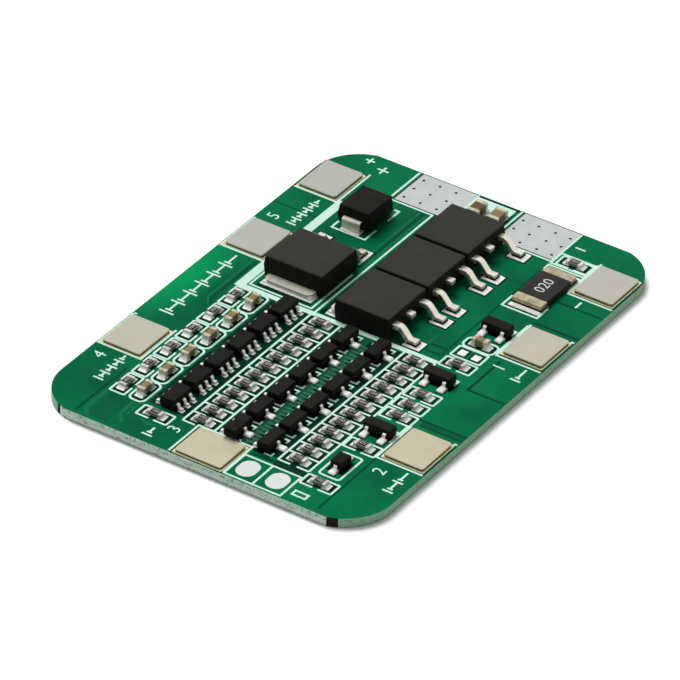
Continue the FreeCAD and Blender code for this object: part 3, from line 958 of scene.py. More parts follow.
# The nodes of the small packages' legs, each with the bodies that it serves
PACKAGES = {
    f"{kind}_legs": [f"{kind}_{i}" for i in range(1, count + 1)]
    for kind, count in (
        ("cell_monitor", 6),
        ("bleed_transistor", 6),
        ("shift_transistor", 6),
        ("driver_transistor", 3),
    )
} | {"signal_diode_legs": ["signal_diode"]}


# Laminate


@dataclass
class ViaField:
    """The small plated holes in the two load lands."""

    radius: float = 0.155
    wall: float = 0.02
    drill_length: float = 4.0
    left_columns: tuple[float, ...] = (9.74, 11.59, 13.42)
    left_rows: tuple[float, ...] = (50.9, 49.15, 47.4)
    right_columns: tuple[float, ...] = (21.12, 22.87, 24.74, 26.4)
    right_rows: tuple[float, ...] = (50.64, 48.95, 47.26)

    def places(self) -> list[Vector]:
        """Returns the middle of each hole on the mask."""
        left = itertools.product(self.left_columns, self.left_rows)
        right = itertools.product(self.right_columns, self.right_rows)
        return [board_point(x, y) for x, y in itertools.chain(left, right)]

    def drills(self, play: float = 0.0) -> Form:
        """Returns a rod for each hole, thinner by the play at each side, that passes through everything."""
        form = Form()
        for place in self.places():
            form.rod(place, (self.radius - play) * MM, self.drill_length * MM)
        return form

    def build(self) -> None:
        """Makes the plated barrels."""
        form = Form()
        depth = BOARD_HIGH.z - BOARD_LOW.z
        for place in self.places():
            middle = Vector((place.x, place.y, (BOARD_HIGH.z + BOARD_LOW.z) / 2))
            form.rod(middle, self.radius * MM, depth - 2 * self.wall * MM)
        mesh = carve(form.to_mesh("barrels", [LEVELLED]), self.drills(self.wall))
        set_piece("via_barrels", mesh, [LEVELLED])


class Wall(Enum):
    """The surfaces of the laminate, in the order of its materials."""

    MASK = 0
    ROUTED = 1
    SCORED = 2
    SNAPPED = 3
    CHARRED = 4


@dataclass
class Laminate:
    """The board itself: routed corners, scored short edges and the snapped web between the scores."""

    corner_radius: float = 5.2
    corner_segments: int = 20
    score_depth: float = 0.33
    score_half_angle: float = 30.0
    # Where the router has charred the front wall: start and end of each place along X
    charred: tuple[tuple[float, float], ...] = ((2.85, 3.25), (32.3, 33.3))
    charred_depth: float = 0.9
    # How upright a face's normal is on the two faces of the board, and on the flanks of a score
    level: float = 0.99
    sloping: float = 0.2
    drills: Form = field(default_factory=Form)

    def blank(self) -> Form:
        """Returns the board with round corners, before it is scored."""
        form = Form()
        extent = Extent(BOARD_LOW, BOARD_HIGH)
        form.levels([(extent, extent.low.z), (extent, extent.high.z)])
        uprights = [edge for edge in form.mesh.edges if is_upright(edge)]
        form.soften(uprights, self.corner_radius * MM, self.corner_segments)
        return form

    def split(self, form: Form, place: Vector, across: Vector, clear: bool = False) -> list[object]:
        """Splits a form by a plane, and may drop what lies beyond it.

        Args:
            form: The form to split.
            place: A point of the plane.
            across: The direction square to it.
            clear: Whether to drop what lies on the side that the direction points to.

        Returns:
            The corners and edges in the plane.
        """
        geometry = form.mesh.verts[:] + form.mesh.edges[:] + form.mesh.faces[:]
        return bmesh.ops.bisect_plane(
            form.mesh, geom=geometry, plane_co=place, plane_no=across, clear_outer=clear
        )["geom_cut"]

    def score(self, form: Form) -> None:
        """Takes the scoring blade along both faces of both short edges."""
        slope = math.radians(self.score_half_angle)
        for end, side in itertools.product((-1, 1), (-1, 1)):
            edge_y = BOARD_HIGH.y * end
            face_z = BOARD_HIGH.z if side > 0 else BOARD_LOW.z
            root = Vector((0, edge_y, face_z - side * self.score_depth * MM))
            outward = Vector((0, end * math.cos(slope), side * math.sin(slope)))
            cut = self.split(form, root, outward, clear=True)
            rim = [g for g in cut if isinstance(g, Edge)]
            bmesh.ops.contextual_create(form.mesh, geom=rim)

    def part_char(self, form: Form) -> None:
        """Splits the faces at both sides of each charred place."""
        for x in itertools.chain(*self.charred):
            self.split(form, board_point(x, 0), Vector((1, 0, 0)))

    def wall_of(self, face: Face) -> Wall:
        """Returns which surface of the laminate a face belongs to."""
        face.normal_update()
        if abs(face.normal.z) > self.level:
            return Wall.MASK
        x, y = on_board(face.calc_center_median())
        if y < self.charred_depth and any(start < x < end for start, end in self.charred):
            return Wall.CHARRED
        if abs(face.normal.z) > self.sloping:
            return Wall.SCORED
        if self.charred[0][0] < x < self.charred[-1][0]:
            return Wall.SNAPPED
        return Wall.ROUTED

    def build(self) -> None:
        """Makes the laminate with the holes of the load lands."""
        form = self.blank()
        self.score(form)
        self.part_char(form)
        bmesh.ops.recalc_face_normals(form.mesh, faces=form.mesh.faces)
        for face in form.mesh.faces:
            face.material_index = self.wall_of(face).value
        walls = [MASK, ROUTED, SCORED, SNAPPED, CHARRED]
        mesh = carve(form.to_mesh("blank", walls), self.drills)
        set_piece("laminate", mesh, walls, ["circuit_board"])


# Printed and etched patterns


@dataclass(frozen=True)
class Stroke:
    """A band along a path on the board."""

    points: Path
    width: float
    closed: bool = False
    corner: float = 0.0


def corners_of(area: Rectangle) -> Path:
    """Returns the four corners of a rectangle that is given as its left, front, right and back."""
    left, front, right, back = area
    return (left, front), (right, front), (right, back), (left, back)


def area_extent(area: Rectangle) -> Extent:
    """Returns the level box over such a rectangle on the mask."""
    left, front, right, back = area
    return Extent(board_point(left, front), board_point(right, back))


def stroke_form(strokes: Sequence[Stroke], height: float, z: float = 0.0) -> Mesh:
    """Makes bands that lie flat on the board, with mitred or rounded corners.

    Each path stands up as a wall as high as the band is thick, which is then given the band's width.
    Bands that cross differ a little in thickness, so that no two of their faces share a plane.

    Args:
        strokes: The bands, all of them of one width.
        height: Their thickness in millimetres.
        z: Height of their lower side above the mask, in millimetres.

    Returns:
        The mesh.
    """
    form = Form()
    lift, levels = 0.0004, 9
    for index, stroke in enumerate(strokes):
        verts = [form.mesh.verts.new(board_point(x, y, z)) for x, y in stroke.points]
        pairs = list(zip(verts, verts[1:]))
        if stroke.closed:
            pairs.append((verts[-1], verts[0]))
        edges = [form.mesh.edges.new(pair) for pair in pairs]
        if stroke.corner > 0:
            edges = round_path(form, verts, edges, stroke)
        wall = bmesh.ops.extrude_edge_only(form.mesh, edges=edges)["geom"]
        raised = [g for g in wall if isinstance(g, Vert)]
        step = (height + lift * (index % levels)) * MM
        bmesh.ops.translate(form.mesh, vec=(0, 0, step), verts=raised)
    settings = {"thickness": strokes[0].width * MM, "offset": 0.0}
    settings |= {"use_even_offset": True, "use_quality_normals": True}
    return through_modifier(form.to_mesh("bands"), "SOLIDIFY", settings)


def round_path(form: Form, verts: Sequence[Vert], edges: Sequence[Edge], stroke: Stroke) -> list[Edge]:
    """Rounds the corners of a path of edges, and returns the path's new edges."""
    inner = verts if stroke.closed else verts[1:-1]
    before = set(form.mesh.edges) - set(edges)
    form.bevel(inner, stroke.corner * MM, 4, "VERTICES")
    return [edge for edge in form.mesh.edges if edge not in before]


@dataclass
class CopperPattern:
    """What shows of the copper through the mask: tracks that stand up and gaps that look darker, and mask
    darkened by painted shade between and round the parts.
    """

    track_height: float = 0.014
    gap_height: float = 0.004
    wide_gap: float = 0.6
    opening_margin: float = 0.13
    opening_height: float = 0.006
    # Reach of the painted shadow round the transistors and the small diode
    caked_and_shadow_margin: float = 0.24
    skin_height: float = 0.005
    # Skins that cross differ by this much in height
    lift: float = 0.0003
    lift_steps: int = 7
    # How far the painted shade reaches past a chip: at its ends and at its sides
    stain_and_shade_reach: tuple[float, float] = (0.72, 0.22)
    # Areas of mask darkened by painted shade and stained by flux, in the columns of close-set parts
    stained_and_shaded_areas: tuple[Rectangle, ...] = (
        (13.55, 4.95, 16.85, 25.65),
        (23.95, 3.7, 27.25, 25.65),
        (9.35, 5.6, 13.35, 25.6),
        (15.4, 51.6, 20.2, 51.9),
        (17.05, 4.9, 19.5, 25.4),
        (20.95, 4.9, 23.85, 25.4),
        (17.3, 3.75, 19.9, 5.0),
    )
    gaps: tuple[tuple[Path, float], ...] = (
        (((30.6, 17.5), (35.9, 17.5)), 0.28),
        (((31.4, 17.1), (35.9, 17.1)), 1.0),
        (((31.4, 16.75), (35.9, 16.75)), 0.22),
        (((31.9, 29.6), (31.9, 24.0), (35.9, 24.0)), 0.3),
        (((31.0, 36.75), (35.9, 36.75)), 0.35),
        (((31.0, 40.95), (35.9, 40.95)), 0.25),
        (((31.0, 10.0), (31.0, 0.6)), 0.22),
        (((0.1, 39.6), (4.8, 39.6)), 0.2),
        (((4.55, 30.0), (4.55, 22.3), (5.0, 21.6)), 0.3),
        (((4.75, 8.5), (4.75, 0.5)), 0.25),
        (((6.9, 4.75), (6.9, 0.6)), 2.3),
        (((12.85, 45.9), (12.85, 34.5)), 0.25),
        (((25.3, 41.6), (26.8, 41.6)), 0.9),
        (((25.2, 28.3), (27.0, 28.3)), 0.3),
        (((25.2, 27.2), (27.0, 27.2)), 0.25),
        (((26.9, 44.6), (26.9, 27.0)), 0.18),
        (((21.5, 4.3), (26.8, 4.3)), 0.5),
        # Painted shade: the wide band over the ground between the two transistor columns
        (((20.45, 4.9), (20.45, 25.4)), 6.8),
    )
    tracks: tuple[tuple[Path, float], ...] = (
        (((4.15, 30.0), (4.15, 22.6), (4.95, 21.4)), 0.22),
        (((5.3, 4.8), (5.3, 1.3), (6.2, 0.3)), 0.32),
        (((8.3, 4.8), (8.4, 2.4), (9.2, 1.3)), 0.3),
        (((8.95, 4.8), (8.95, 2.6)), 0.2),
        (((10.3, 2.7), (11.2, 2.45), (12.2, 2.7)), 0.3),
        (((12.45, 45.9), (12.45, 34.8)), 0.2),
        (((13.25, 45.9), (13.25, 34.8)), 0.2),
        (((32.3, 28.6), (32.3, 24.5), (35.7, 24.5)), 0.2),
        (((24.9, 29.9), (24.9, 26.7)), 0.22),
    )
    rung_ends: Point = (19.95, 21.1)
    rung_pitch: float = 0.58
    rung_start: float = 5.6
    rung_end: float = 25.3
    rung_width: float = 0.2
    # The film of flux between the transistors
    film: Path = ((20.2, 4.9), (20.2, 25.4))
    film_width: float = 1.45

    def rungs(self) -> list[Stroke]:
        """Returns the short tracks that join the two columns of transistors."""
        count = int((self.rung_end - self.rung_start) / self.rung_pitch)
        rows = [self.rung_start + self.rung_pitch * i for i in range(count)]
        left, right = self.rung_ends
        return [Stroke(((left, y), (right, y)), self.rung_width) for y in rows]

    def bands(self, name: str, strokes: Sequence[Stroke], height: float, finish: Finish) -> None:
        """Makes one piece of bands of several widths."""
        form = Form()
        by_width = sorted(strokes, key=lambda stroke: stroke.width)
        for _, group in itertools.groupby(by_width, key=lambda stroke: stroke.width):
            form.add(stroke_form(list(group), height), Matrix())
        set_piece(name, form, [finish])

    def build(self) -> None:
        """Makes the gaps, the tracks, the ground darkened by painted shade and stained by flux, and the
        margin round every land.
        """
        gaps = [Stroke(points, width) for points, width in self.gaps]
        tracks = [Stroke(points, width) for points, width in self.tracks]
        wide = [gap for gap in gaps if gap.width > self.wide_gap]
        seams = [gap for gap in gaps if gap.width <= self.wide_gap]
        self.bands("mask_over_gaps_and_painted_shade", wide, self.gap_height, MASK_BARE_AND_SHADE)
        self.bands("mask_in_seams", seams, self.skin_height, MASK_SEAM)
        self.bands("mask_over_tracks", tracks, self.track_height, MASK_TRACK)
        self.bands("mask_over_rungs", self.rungs(), self.track_height, MASK_RUNG)
        film = Stroke(self.film, self.film_width)
        self.bands("mask_under_film", [film], self.skin_height, MASK_DULLED)
        self.paint_stain_and_shade()
        self.lay_margins()

    def lay_margins(self) -> None:
        """Makes the dark margin round every land, in the tone of flux-stained mask and painted shade, cut
        off at the board's scored edges.
        """
        form = Form()
        nodes = ("package_lands", "tab_lands", "load_land_positive", "load_land_negative")
        for index, land in enumerate(itertools.chain(*(extents(node) for node in nodes))):
            opening = land.inset(-self.opening_margin * MM)
            opening.low.y = max(opening.low.y, board_point(0, 0).y)
            opening.high.y = min(opening.high.y, board_point(0, LENGTH).y)
            form.skin(opening, self.opening_height + self.lift * (index % self.lift_steps))
        set_piece("mask_openings", form, [MASK_STAIN_AND_SHADE])

    def paint_stain_and_shade(self) -> None:
        """Makes the ground darkened by painted shade and stained by flux: in the columns of close-set
        parts, round packages and in frames.
        """
        grounds = [area_extent(area) for area in self.stained_and_shaded_areas]
        along, across = (-reach * MM for reach in self.stain_and_shade_reach)
        for node in ("filter_resistors", "bias_resistors", "ceramic_capacitors"):
            for chip in extents(node):
                steps = (along, across) if chip.lies_along_x else (across, along)
                grounds.append(chip.inset(*steps))
        nodes = itertools.chain(*(PACKAGES[legs] for legs in PACKAGES if legs != "cell_monitor_legs"))
        # Painted shadow, over caked flux, round the transistors and the small diode
        caked_and_shadowed = [Extent.of_node(node).inset(-self.caked_and_shadow_margin * MM) for node in nodes]
        form = Form()
        for index, ground in enumerate(grounds + caked_and_shadowed):
            is_caked_and_shadowed = int(index >= len(grounds))
            form.skin(ground, self.skin_height + self.lift * (index % 3), is_caked_and_shadowed)
        set_piece("mask_stains_and_painted_shade", form, [MASK_STAIN_AND_SHADE, MASK_CAKED_AND_SHADOW])


@dataclass
class Legend:
    """The printed legend: outlines of the parts, and plain digits and signs at the tabs."""

    ink: float = 0.024
    # What the bands and the printed block stand above the lines, so that no two faces coincide
    band_lift: float = 0.004
    band_step: float = 0.002
    block_lift: float = 0.01
    line: float = 0.22
    band: float = 0.6
    digit_height: float = 1.35
    wide_band: Path = ((5.0, 25.95), (27.3, 25.95))
    side_band: Path = ((5.45, 43.3), (5.45, 25.7))
    side_band_width: float = 0.95
    lines: tuple[Path, ...] = (
        ((8.7, 51.85), (8.7, 46.9)),
        ((8.7, 46.35), (13.65, 46.35), (13.65, 26.2)),
        ((6.15, 29.4), (6.15, 26.55), (13.05, 26.55), (13.05, 33.5)),
        ((12.6, 37.3), (12.6, 35.2)),
        ((20.27, 51.85), (20.27, 46.35), (26.95, 46.35), (26.95, 51.85)),
        ((15.4, 51.85), (15.4, 46.6)),
        ((5.05, 48.75), (5.05, 42.87), (0.2, 42.87)),
        ((5.05, 36.3), (5.05, 30.42), (0.2, 30.42), (0.2, 36.2)),
        ((4.95, 16.25), (4.95, 10.46), (0.2, 10.46), (0.2, 16.2)),
        ((0.5, 16.3), (0.2, 16.3)),
        ((30.95, 48.6), (31.05, 48.6), (31.05, 42.7), (35.85, 42.7)),
        ((30.9, 36.15), (31.05, 36.15), (31.05, 30.2), (35.85, 30.2)),
        ((35.5, 36.05), (35.85, 36.05)),
        ((30.9, 16.1), (30.9, 10.27), (35.85, 10.27)),
        ((35.5, 16.05), (35.85, 16.05)),
        ((15.2, 0.15), (15.2, 4.98), (21.05, 4.98), (21.05, 0.3)),
        ((24.18, 0.25), (24.18, 3.68)),
        ((7.0, 40.3), (7.0, 39.05), (10.75, 39.05), (10.75, 41.0)),
        ((10.75, 43.0), (10.75, 45.0), (10.2, 45.0)),
        ((7.0, 43.6), (7.0, 45.0), (7.6, 45.0)),
        ((27.02, 39.4), (27.02, 37.5), (30.88, 37.5), (30.88, 39.4)),
        ((27.02, 44.9), (27.02, 45.78), (30.88, 45.78), (30.88, 44.9)),
    )
    boxes: tuple[Rectangle, ...] = ((21.15, 0.25, 27.2, 3.68), (27.02, 46.12, 30.8, 48.1))
    thick_lines: tuple[Path, ...] = (
        ((30.95, 48.3), (30.95, 43.0)),
        ((30.95, 36.0), (30.95, 30.3)),
        ((30.72, 15.9), (30.72, 12.8)),
    )
    thick_line_width: float = 0.35
    bulk_block: Rectangle = (15.4, 49.0, 19.75, 51.6)
    minus_signs: tuple[Path, ...] = (((27.55, 49.7), (28.65, 49.7)), ((32.87, 41.05), (32.87, 42.15)))
    plus_signs: tuple[Triple, ...] = ((3.72, 50.8, 1.0), (5.62, 50.06, 1.25))
    # Outline of a chip: how far it reaches past the chip's middle, half its width and half its openings
    chip_reach: float = 1.66
    upright_chip_reach: float = 1.61
    chip_half_width: float = 0.79
    chip_opening: float = 0.28
    chip_corner: float = 0.12
    empty_place: Rectangle = (27.5, 27.85, 30.65, 29.6)
    # Outline of a small capacitor, which is at most so long
    capacitor_length: float = 1.7
    capacitor_half: Point = (1.66, 0.82)
    capacitor_corner: float = 0.55
    # Outline of a column of chips: its rails, its end and the openings of its rungs
    rail: float = 1.66
    rail_end: float = 25.7
    rung_opening: float = 0.35
    # Corner mark of a transistor: its clearance from the body and its two arms
    mark_gap: float = 0.3
    mark_arm: float = 0.5
    mark_side_arm: float = 0.75
    mark_front_arm: float = 0.8
    diode_half: float = 1.1
    diode_gap: float = 0.75
    diode_corner: float = 0.3
    # Rows of cells: place along X, start and end along Y, number of cells, length of a long plate
    cell_rows: tuple[tuple[float, float, float, int, float], ...] = (
        (3.55, 37.0, 41.9, 5, 1.1),
        (3.55, 5.4, 9.8, 4, 1.1),
        (34.6, 5.8, 9.2, 2, 1.1),
        (34.6, 27.0, 29.0, 1, 1.1),
        (2.5, 17.4, 29.0, 6, 1.6),
        (12.2, 0.6, 1.9, 1, 1.1),
    )
    plate_gap: float = 0.22
    sensor_sign: Rectangle = (27.9, 1.1, 29.3, 1.75)
    digit_places: tuple[tuple[str, float, float], ...] = (
        ("5", 1.55, 37.4),
        ("4", 1.5, 8.9),
        ("3", 13.8, 3.2),
        ("2", 32.4, 8.6),
        ("1", 32.35, 28.7),
    )

    def thin(self, *points: Point, **options: bool | float) -> Stroke:
        """Returns one thin line through some points."""
        return Stroke(points, self.line, **options)

    def chip_frames(self) -> list[Stroke]:
        """Returns the outline round every chip that stands by itself, open at the middle of both sides."""
        strokes = []
        half, gap = self.chip_half_width, self.chip_opening
        for node, count in (("filter_resistors", 6), ("bias_resistors", 8)):
            for chip in extents(node)[:count]:
                x, y = on_board(chip.centre)
                reach = self.chip_reach if chip.lies_along_x else self.upright_chip_reach
                bracket = ((gap, half), (reach, half), (reach, -half), (gap, -half))
                for side in (-1, 1):
                    if chip.lies_along_x:
                        points = [(x + side * u, y + v) for u, v in bracket]
                    else:
                        points = [(x + v, y + side * u) for u, v in bracket]
                    strokes.append(self.thin(*points, corner=self.chip_corner))
        return strokes

    def capacitor_frames(self) -> list[Stroke]:
        """Returns the rounded outline round the capacitors of the size of the resistors."""
        strokes = []
        for chip in extents("ceramic_capacitors"):
            if max(chip.size.x, chip.size.y) > self.capacitor_length * MM:
                continue
            x, y = on_board(chip.centre)
            u, v = self.capacitor_half if chip.lies_along_x else reversed(self.capacitor_half)
            corners = corners_of((x - u, y - v, x + u, y + v))
            strokes.append(self.thin(*corners, closed=True, corner=self.capacitor_corner))
        return strokes

    def ladder(self, node: str) -> list[Stroke]:
        """Returns the two rails beside a column of chips and the rungs between the chips."""
        places = sorted((on_board(chip.centre) for chip in extents(node)), key=lambda place: place[1])
        x = places[0][0]
        rows = [y for _, y in places]
        start = rows[0] - (rows[1] - rows[0]) / 2
        sides = (x - self.rail, x + self.rail)
        strokes = [self.thin((side, start), (side, self.rail_end)) for side in sides]
        for y in [start] + [(a + b) / 2 for a, b in zip(rows, rows[1:])]:
            strokes.append(self.thin((x - self.rail, y), (x - self.rung_opening, y)))
            strokes.append(self.thin((x + self.rung_opening, y), (x + self.rail, y)))
        return strokes

    def package_corners(self) -> list[Stroke]:
        """Returns the corner marks at the side where a transistor has its single lead."""
        strokes = []
        for kind, i in itertools.product(("bleed", "shift"), range(1, 7)):
            box = Extent.of_node(f"{kind}_transistor_{i}")
            (_, front), (x, back) = on_board(box.low), on_board(box.high)
            x += self.mark_gap
            for y, inward in ((back, -self.mark_arm), (front, self.mark_arm)):
                strokes.append(self.thin((x - self.mark_side_arm, y), (x, y), (x, y + inward)))
        for i in range(1, 4):
            box = Extent.of_node(f"driver_transistor_{i}")
            (left, _), (right, y) = on_board(box.low), on_board(box.high)
            y += self.mark_gap
            for x, inward in ((left, self.mark_arm), (right, -self.mark_arm)):
                strokes.append(self.thin((x, y - self.mark_front_arm), (x, y), (x + inward, y)))
        return strokes

    def diode_frame(self) -> Stroke:
        """Returns the rounded outline of the small diode."""
        box = Extent.of_node("signal_diode_legs")
        x = on_board(box.centre)[0]
        front, back = on_board(box.low)[1] - self.diode_gap, on_board(box.high)[1] + self.diode_gap
        corners = corners_of((x - self.diode_half, front, x + self.diode_half, back))
        return self.thin(*corners, closed=True, corner=self.diode_corner)

    def cells(self, x: float, start: float, end: float, count: int, reach: float) -> list[Stroke]:
        """Returns the sign of a row of battery cells that runs towards the back: long and short plates.

        Args:
            x: Place of its middle line.
            start: Where it begins along Y.
            end: Where it ends.
            count: Number of cells.
            reach: Length of a long plate.

        Returns:
            Its strokes.
        """
        pitch = (end - start) / count
        gap = min(self.plate_gap, pitch / 4)
        strokes = []
        for i in range(count):
            y = start + pitch * (i + 0.5)
            strokes.append(self.thin((x - reach / 2, y - gap), (x + reach / 2, y - gap)))
            strokes.append(self.thin((x - reach / 4, y + gap), (x + reach / 4, y + gap)))
            if pitch / 2 - gap > self.line:
                strokes.append(self.thin((x, y + gap), (x, y + pitch - gap)))
        return strokes

    def signs(self) -> list[Stroke]:
        """Returns the cell signs at the tabs, the sign of the sensor and the signs of the poles."""
        strokes = list(itertools.chain(*(self.cells(*row) for row in self.cell_rows)))
        strokes.append(self.thin(*corners_of(self.sensor_sign), closed=True))
        strokes += [self.thin(*points) for points in self.minus_signs]
        for x, y, reach in self.plus_signs:
            strokes.append(self.thin((x, y - reach / 2), (x, y + reach / 2)))
            strokes.append(self.thin((x - reach / 2, y), (x + reach / 2, y)))
        return strokes

    def ribbons(self) -> list[Stroke]:
        """Returns all the thin lines."""
        strokes = [self.thin(*points) for points in self.lines]
        strokes += [self.thin(*corners_of(box), closed=True) for box in self.boxes]
        strokes += self.chip_frames() + self.capacitor_frames() + self.package_corners()
        strokes += self.ladder("gate_resistors") + self.ladder("sense_resistors")
        strokes.append(self.diode_frame())
        empty = corners_of(self.empty_place)
        strokes.append(self.thin(*empty, closed=True, corner=self.chip_corner))
        return strokes + self.signs()

    def digits(self) -> Form:
        """Returns the plain digits at the tabs, which read from the board's right side."""
        form = Form()
        turn = Matrix.Rotation(math.radians(90), 4, "Z")
        for text, x, y in self.digit_places:
            place = Matrix.Translation(board_point(x, y, self.ink / 2))
            form.add(lettering(text, self.digit_height, self.ink), place @ turn)
        return form

    def build(self) -> None:
        """Makes the lines, the wide bands and the digits."""
        lines = stroke_form(self.ribbons(), self.ink)
        set_piece("legend_lines", lines, [LEGEND_INK])
        form = Form()
        wide = [Stroke(self.wide_band, self.band)]
        side = [Stroke(self.side_band, self.side_band_width)]
        thick = [Stroke(points, self.thick_line_width) for points in self.thick_lines]
        for step, strokes in enumerate((wide, side, thick)):
            form.add(stroke_form(strokes, self.ink + self.band_lift + self.band_step * step), Matrix())
        block = area_extent(self.bulk_block)
        form.levels([(block, MASK_TOP), (block, MASK_TOP + (self.ink + self.block_lift) * MM)])
        set_piece("legend_bands", form, [LEGEND_INK])
        set_piece("legend_digits", self.digits(), [LEGEND_INK])


# Lands, tabs and solder


@dataclass
class Lands:
    """The plated lands, their edges drawn down by the mask."""

    rim: float = 0.03
    drop: float = 0.02
    # Lands wider than these are those of the large packages, and of heat tabs
    wide_land: float = 1.7
    heat_land: float = 4.0
    # How far solder or mask draws in a land: a narrow one all round, a heat tab's at its ends
    narrow_land_inset: float = 0.05
    heat_land_toe: float = 0.4
    # Land that shows round a small leg, and to the left of it
    leg_margin: float = 0.14
    left_margin: float = 0.02
    leg_distance: float = 0.5
    sensor_land_inset: float = 0.06
    # Radius of an oval land's ends as a share of half its width
    oval_share: float = 0.97
    oval_segments: int = 12
    tab_land_corner: float = 0.12
    package_land_corner: float = 0.06
    load_land_corner: float = 0.08
    drills: Callable[[], Form] = ViaField().drills

    def pillow(
        self, form: Form, land: Extent, corner: float, segments: int = 3, material: int = 0
    ) -> None:
        """Makes one land, a little lower at its rim than in its middle."""
        top = land.high.z
        steps = [
            (land, MASK_TOP - SINK * MM),
            (land, top - self.drop * MM),
            (land.inset(self.rim * MM), top),
        ]
        form.levels(steps, corner=corner * MM, segments=segments, material=material)

    def shown(self, land: Extent, legs: Sequence[Extent]) -> Extent:
        """Returns what the solder leaves to be seen of a package's land.

        Args:
            land: The whole land.
            legs: The legs of all the small packages.

        Returns:
            The land, drawn in by the mask, and close round its leg where a leg stands on it.
        """
        if land.shorter > self.heat_land * MM:
            toe = self.heat_land_toe * MM
            return land.inset(toe, 0.0) if land.lies_along_x else land.inset(0.0, toe)
        if land.shorter > self.wide_land * MM:
            return land
        land = land.inset(self.narrow_land_inset * MM)
        for leg in legs:
            away = leg.centre - land.centre
            if max(abs(away.x), abs(away.y)) < self.leg_distance * MM:
                close = leg.inset(-self.leg_margin * MM)
                close.low.x = leg.low.x - self.left_margin * MM
                low = Vector([max(pair) for pair in zip(land.low, close.low)])
                high = Vector([min(pair) for pair in zip(land.high, close.high)])
                low.z, high.z = land.low.z, land.high.z
                return Extent(low, high)
        return land

    def build(self) -> None:
        """Makes the lands of the tabs, the loads, the sensor and the packages."""
        form = Form()
        for land in extents("tab_lands"):
            self.pillow(form, land, self.tab_land_corner, 2)
        set_piece("tab_lands_plated", form, [GOLD], ["tab_lands"])
        form = Form()
        legs = list(itertools.chain(*(extents(node) for node in PACKAGES)))
        for land in extents("package_lands"):
            is_wide = land.shorter > self.wide_land * MM
            self.pillow(form, self.shown(land, legs), self.package_land_corner, 2, int(is_wide))
        finishes = [SOLDER, PASTED]
        set_piece("package_lands_plated", form, finishes, ["package_lands"])
        form = Form()
        for land in extents("sensor_lands"):
            land = land.inset(self.sensor_land_inset * MM)
            self.pillow(form, land, land.size.x / 2 / MM * self.oval_share, self.oval_segments)
        set_piece("sensor_lands_plated", form, [LEVELLED_FRESH], ["sensor_lands"])
        for node in ("load_land_positive", "load_land_negative"):
            form = Form()
            self.pillow(form, Extent.of_node(node), self.load_land_corner)
            mesh = carve(form.to_mesh(node, [LEVELLED]), self.drills())
            set_piece(f"{node}_plated", mesh, [LEVELLED], [node])


@dataclass
class WeldTabs:
    """The seven nickel tabs: sheared plates with a soft upper edge."""

    corner: float = 0.25
    edge: float = 0.05
    # The lower edge is drawn in by the first length and is straight from the second
    burr: Point = (0.03, 0.04)
    torn_share: float = 0.55
    taps: tuple[str, ...] = ("positive", "negative", "cell_1", "cell_2", "cell_3", "cell_4", "cell_5")

    def plate(self, extent: Extent) -> Form:
        """Returns one tab with its corners rounded and its upper edge rolled by the shear."""
        form = Form()
        edge = self.edge * MM
        torn = extent.low.z + self.torn_share * extent.size.z
        inward, up = self.burr
        slope = (
            (extent.inset(inward * MM), extent.low.z),
            (extent, extent.low.z + up * MM),
            (extent, torn),
            (extent, extent.high.z - edge),
            (extent.inset(edge * EASED), extent.high.z - edge * EASED),
            (extent.inset(edge), extent.high.z),
        )
        # The sides below the torn line take the sheared finish, whose dark tone is also painted shade at
        # the tab's foot
        for face in form.levels(slope, corner=self.corner * MM, segments=6):
            if max(vert.co.z for vert in face.verts) < torn + SAME_LEVEL:
                face.material_index = 1
        return form

    def build(self) -> None:
        """Makes the tabs."""
        for tap in self.taps:
            node = f"weld_tab_{tap}"
            plate = self.plate(Extent.of_node(node))
            set_piece(f"{node}_sheet", plate, [NICKEL, SHEARED_AND_SHADED], [node])


# How far a fillet has drawn in to the metal, and how high it has climbed, from its toe upwards
FILLET_PROFILE = ((0.0, 0.0), (0.34, 0.1), (0.62, 0.26), (0.85, 0.58), (0.97, 1.0))
# The same for a drop that has gathered on a small foot: round, and fullest at its side
DROP_PROFILE = ((0.0, 0.0), (0.04, 0.3), (0.2, 0.66), (0.5, 0.92), (1.0, 1.05))
# Radius of the corners of thin coats: of solder, and of the glaze on a chip
COAT_CORNER = 0.05


def add_fillet(
    form: Form,
    metal: Extent,
    toe: Extent,
    climb: float,
    profile: Sequence[Point] = FILLET_PROFILE,
) -> None:
    """Adds the solder round the foot of a metal part, by default hollow and thin at its toe.

    Args:
        form: The form to add to.
        metal: The outline of the part that the solder climbs, with its foot at the box's lowest side.
        toe: How far the solder spreads.
        climb: Height that it reaches on the part, in millimetres.
        profile: How far it has drawn in and climbed, from its toe upwards.
    """
    steps = [(toe.toward(metal, inward), metal.low.z + up * climb * MM) for inward, up in profile]
    form.levels(steps, corner=COAT_CORNER * MM, segments=2)


def add_residue_and_shade(form: Form, foot: Extent, climb: float) -> None:
    """Adds the thin band of flux and painted shade that stands round a foot, so many millimetres high."""
    width, slope, corner = 0.08, 0.03, 0.04
    band = foot.inset(-width * MM)
    top = foot.low.z + climb * MM
    steps = [(band, foot.low.z), (band, top), (foot, top + slope * MM)]
    form.levels(steps, corner=corner * MM, segments=2)


# Moulded packages


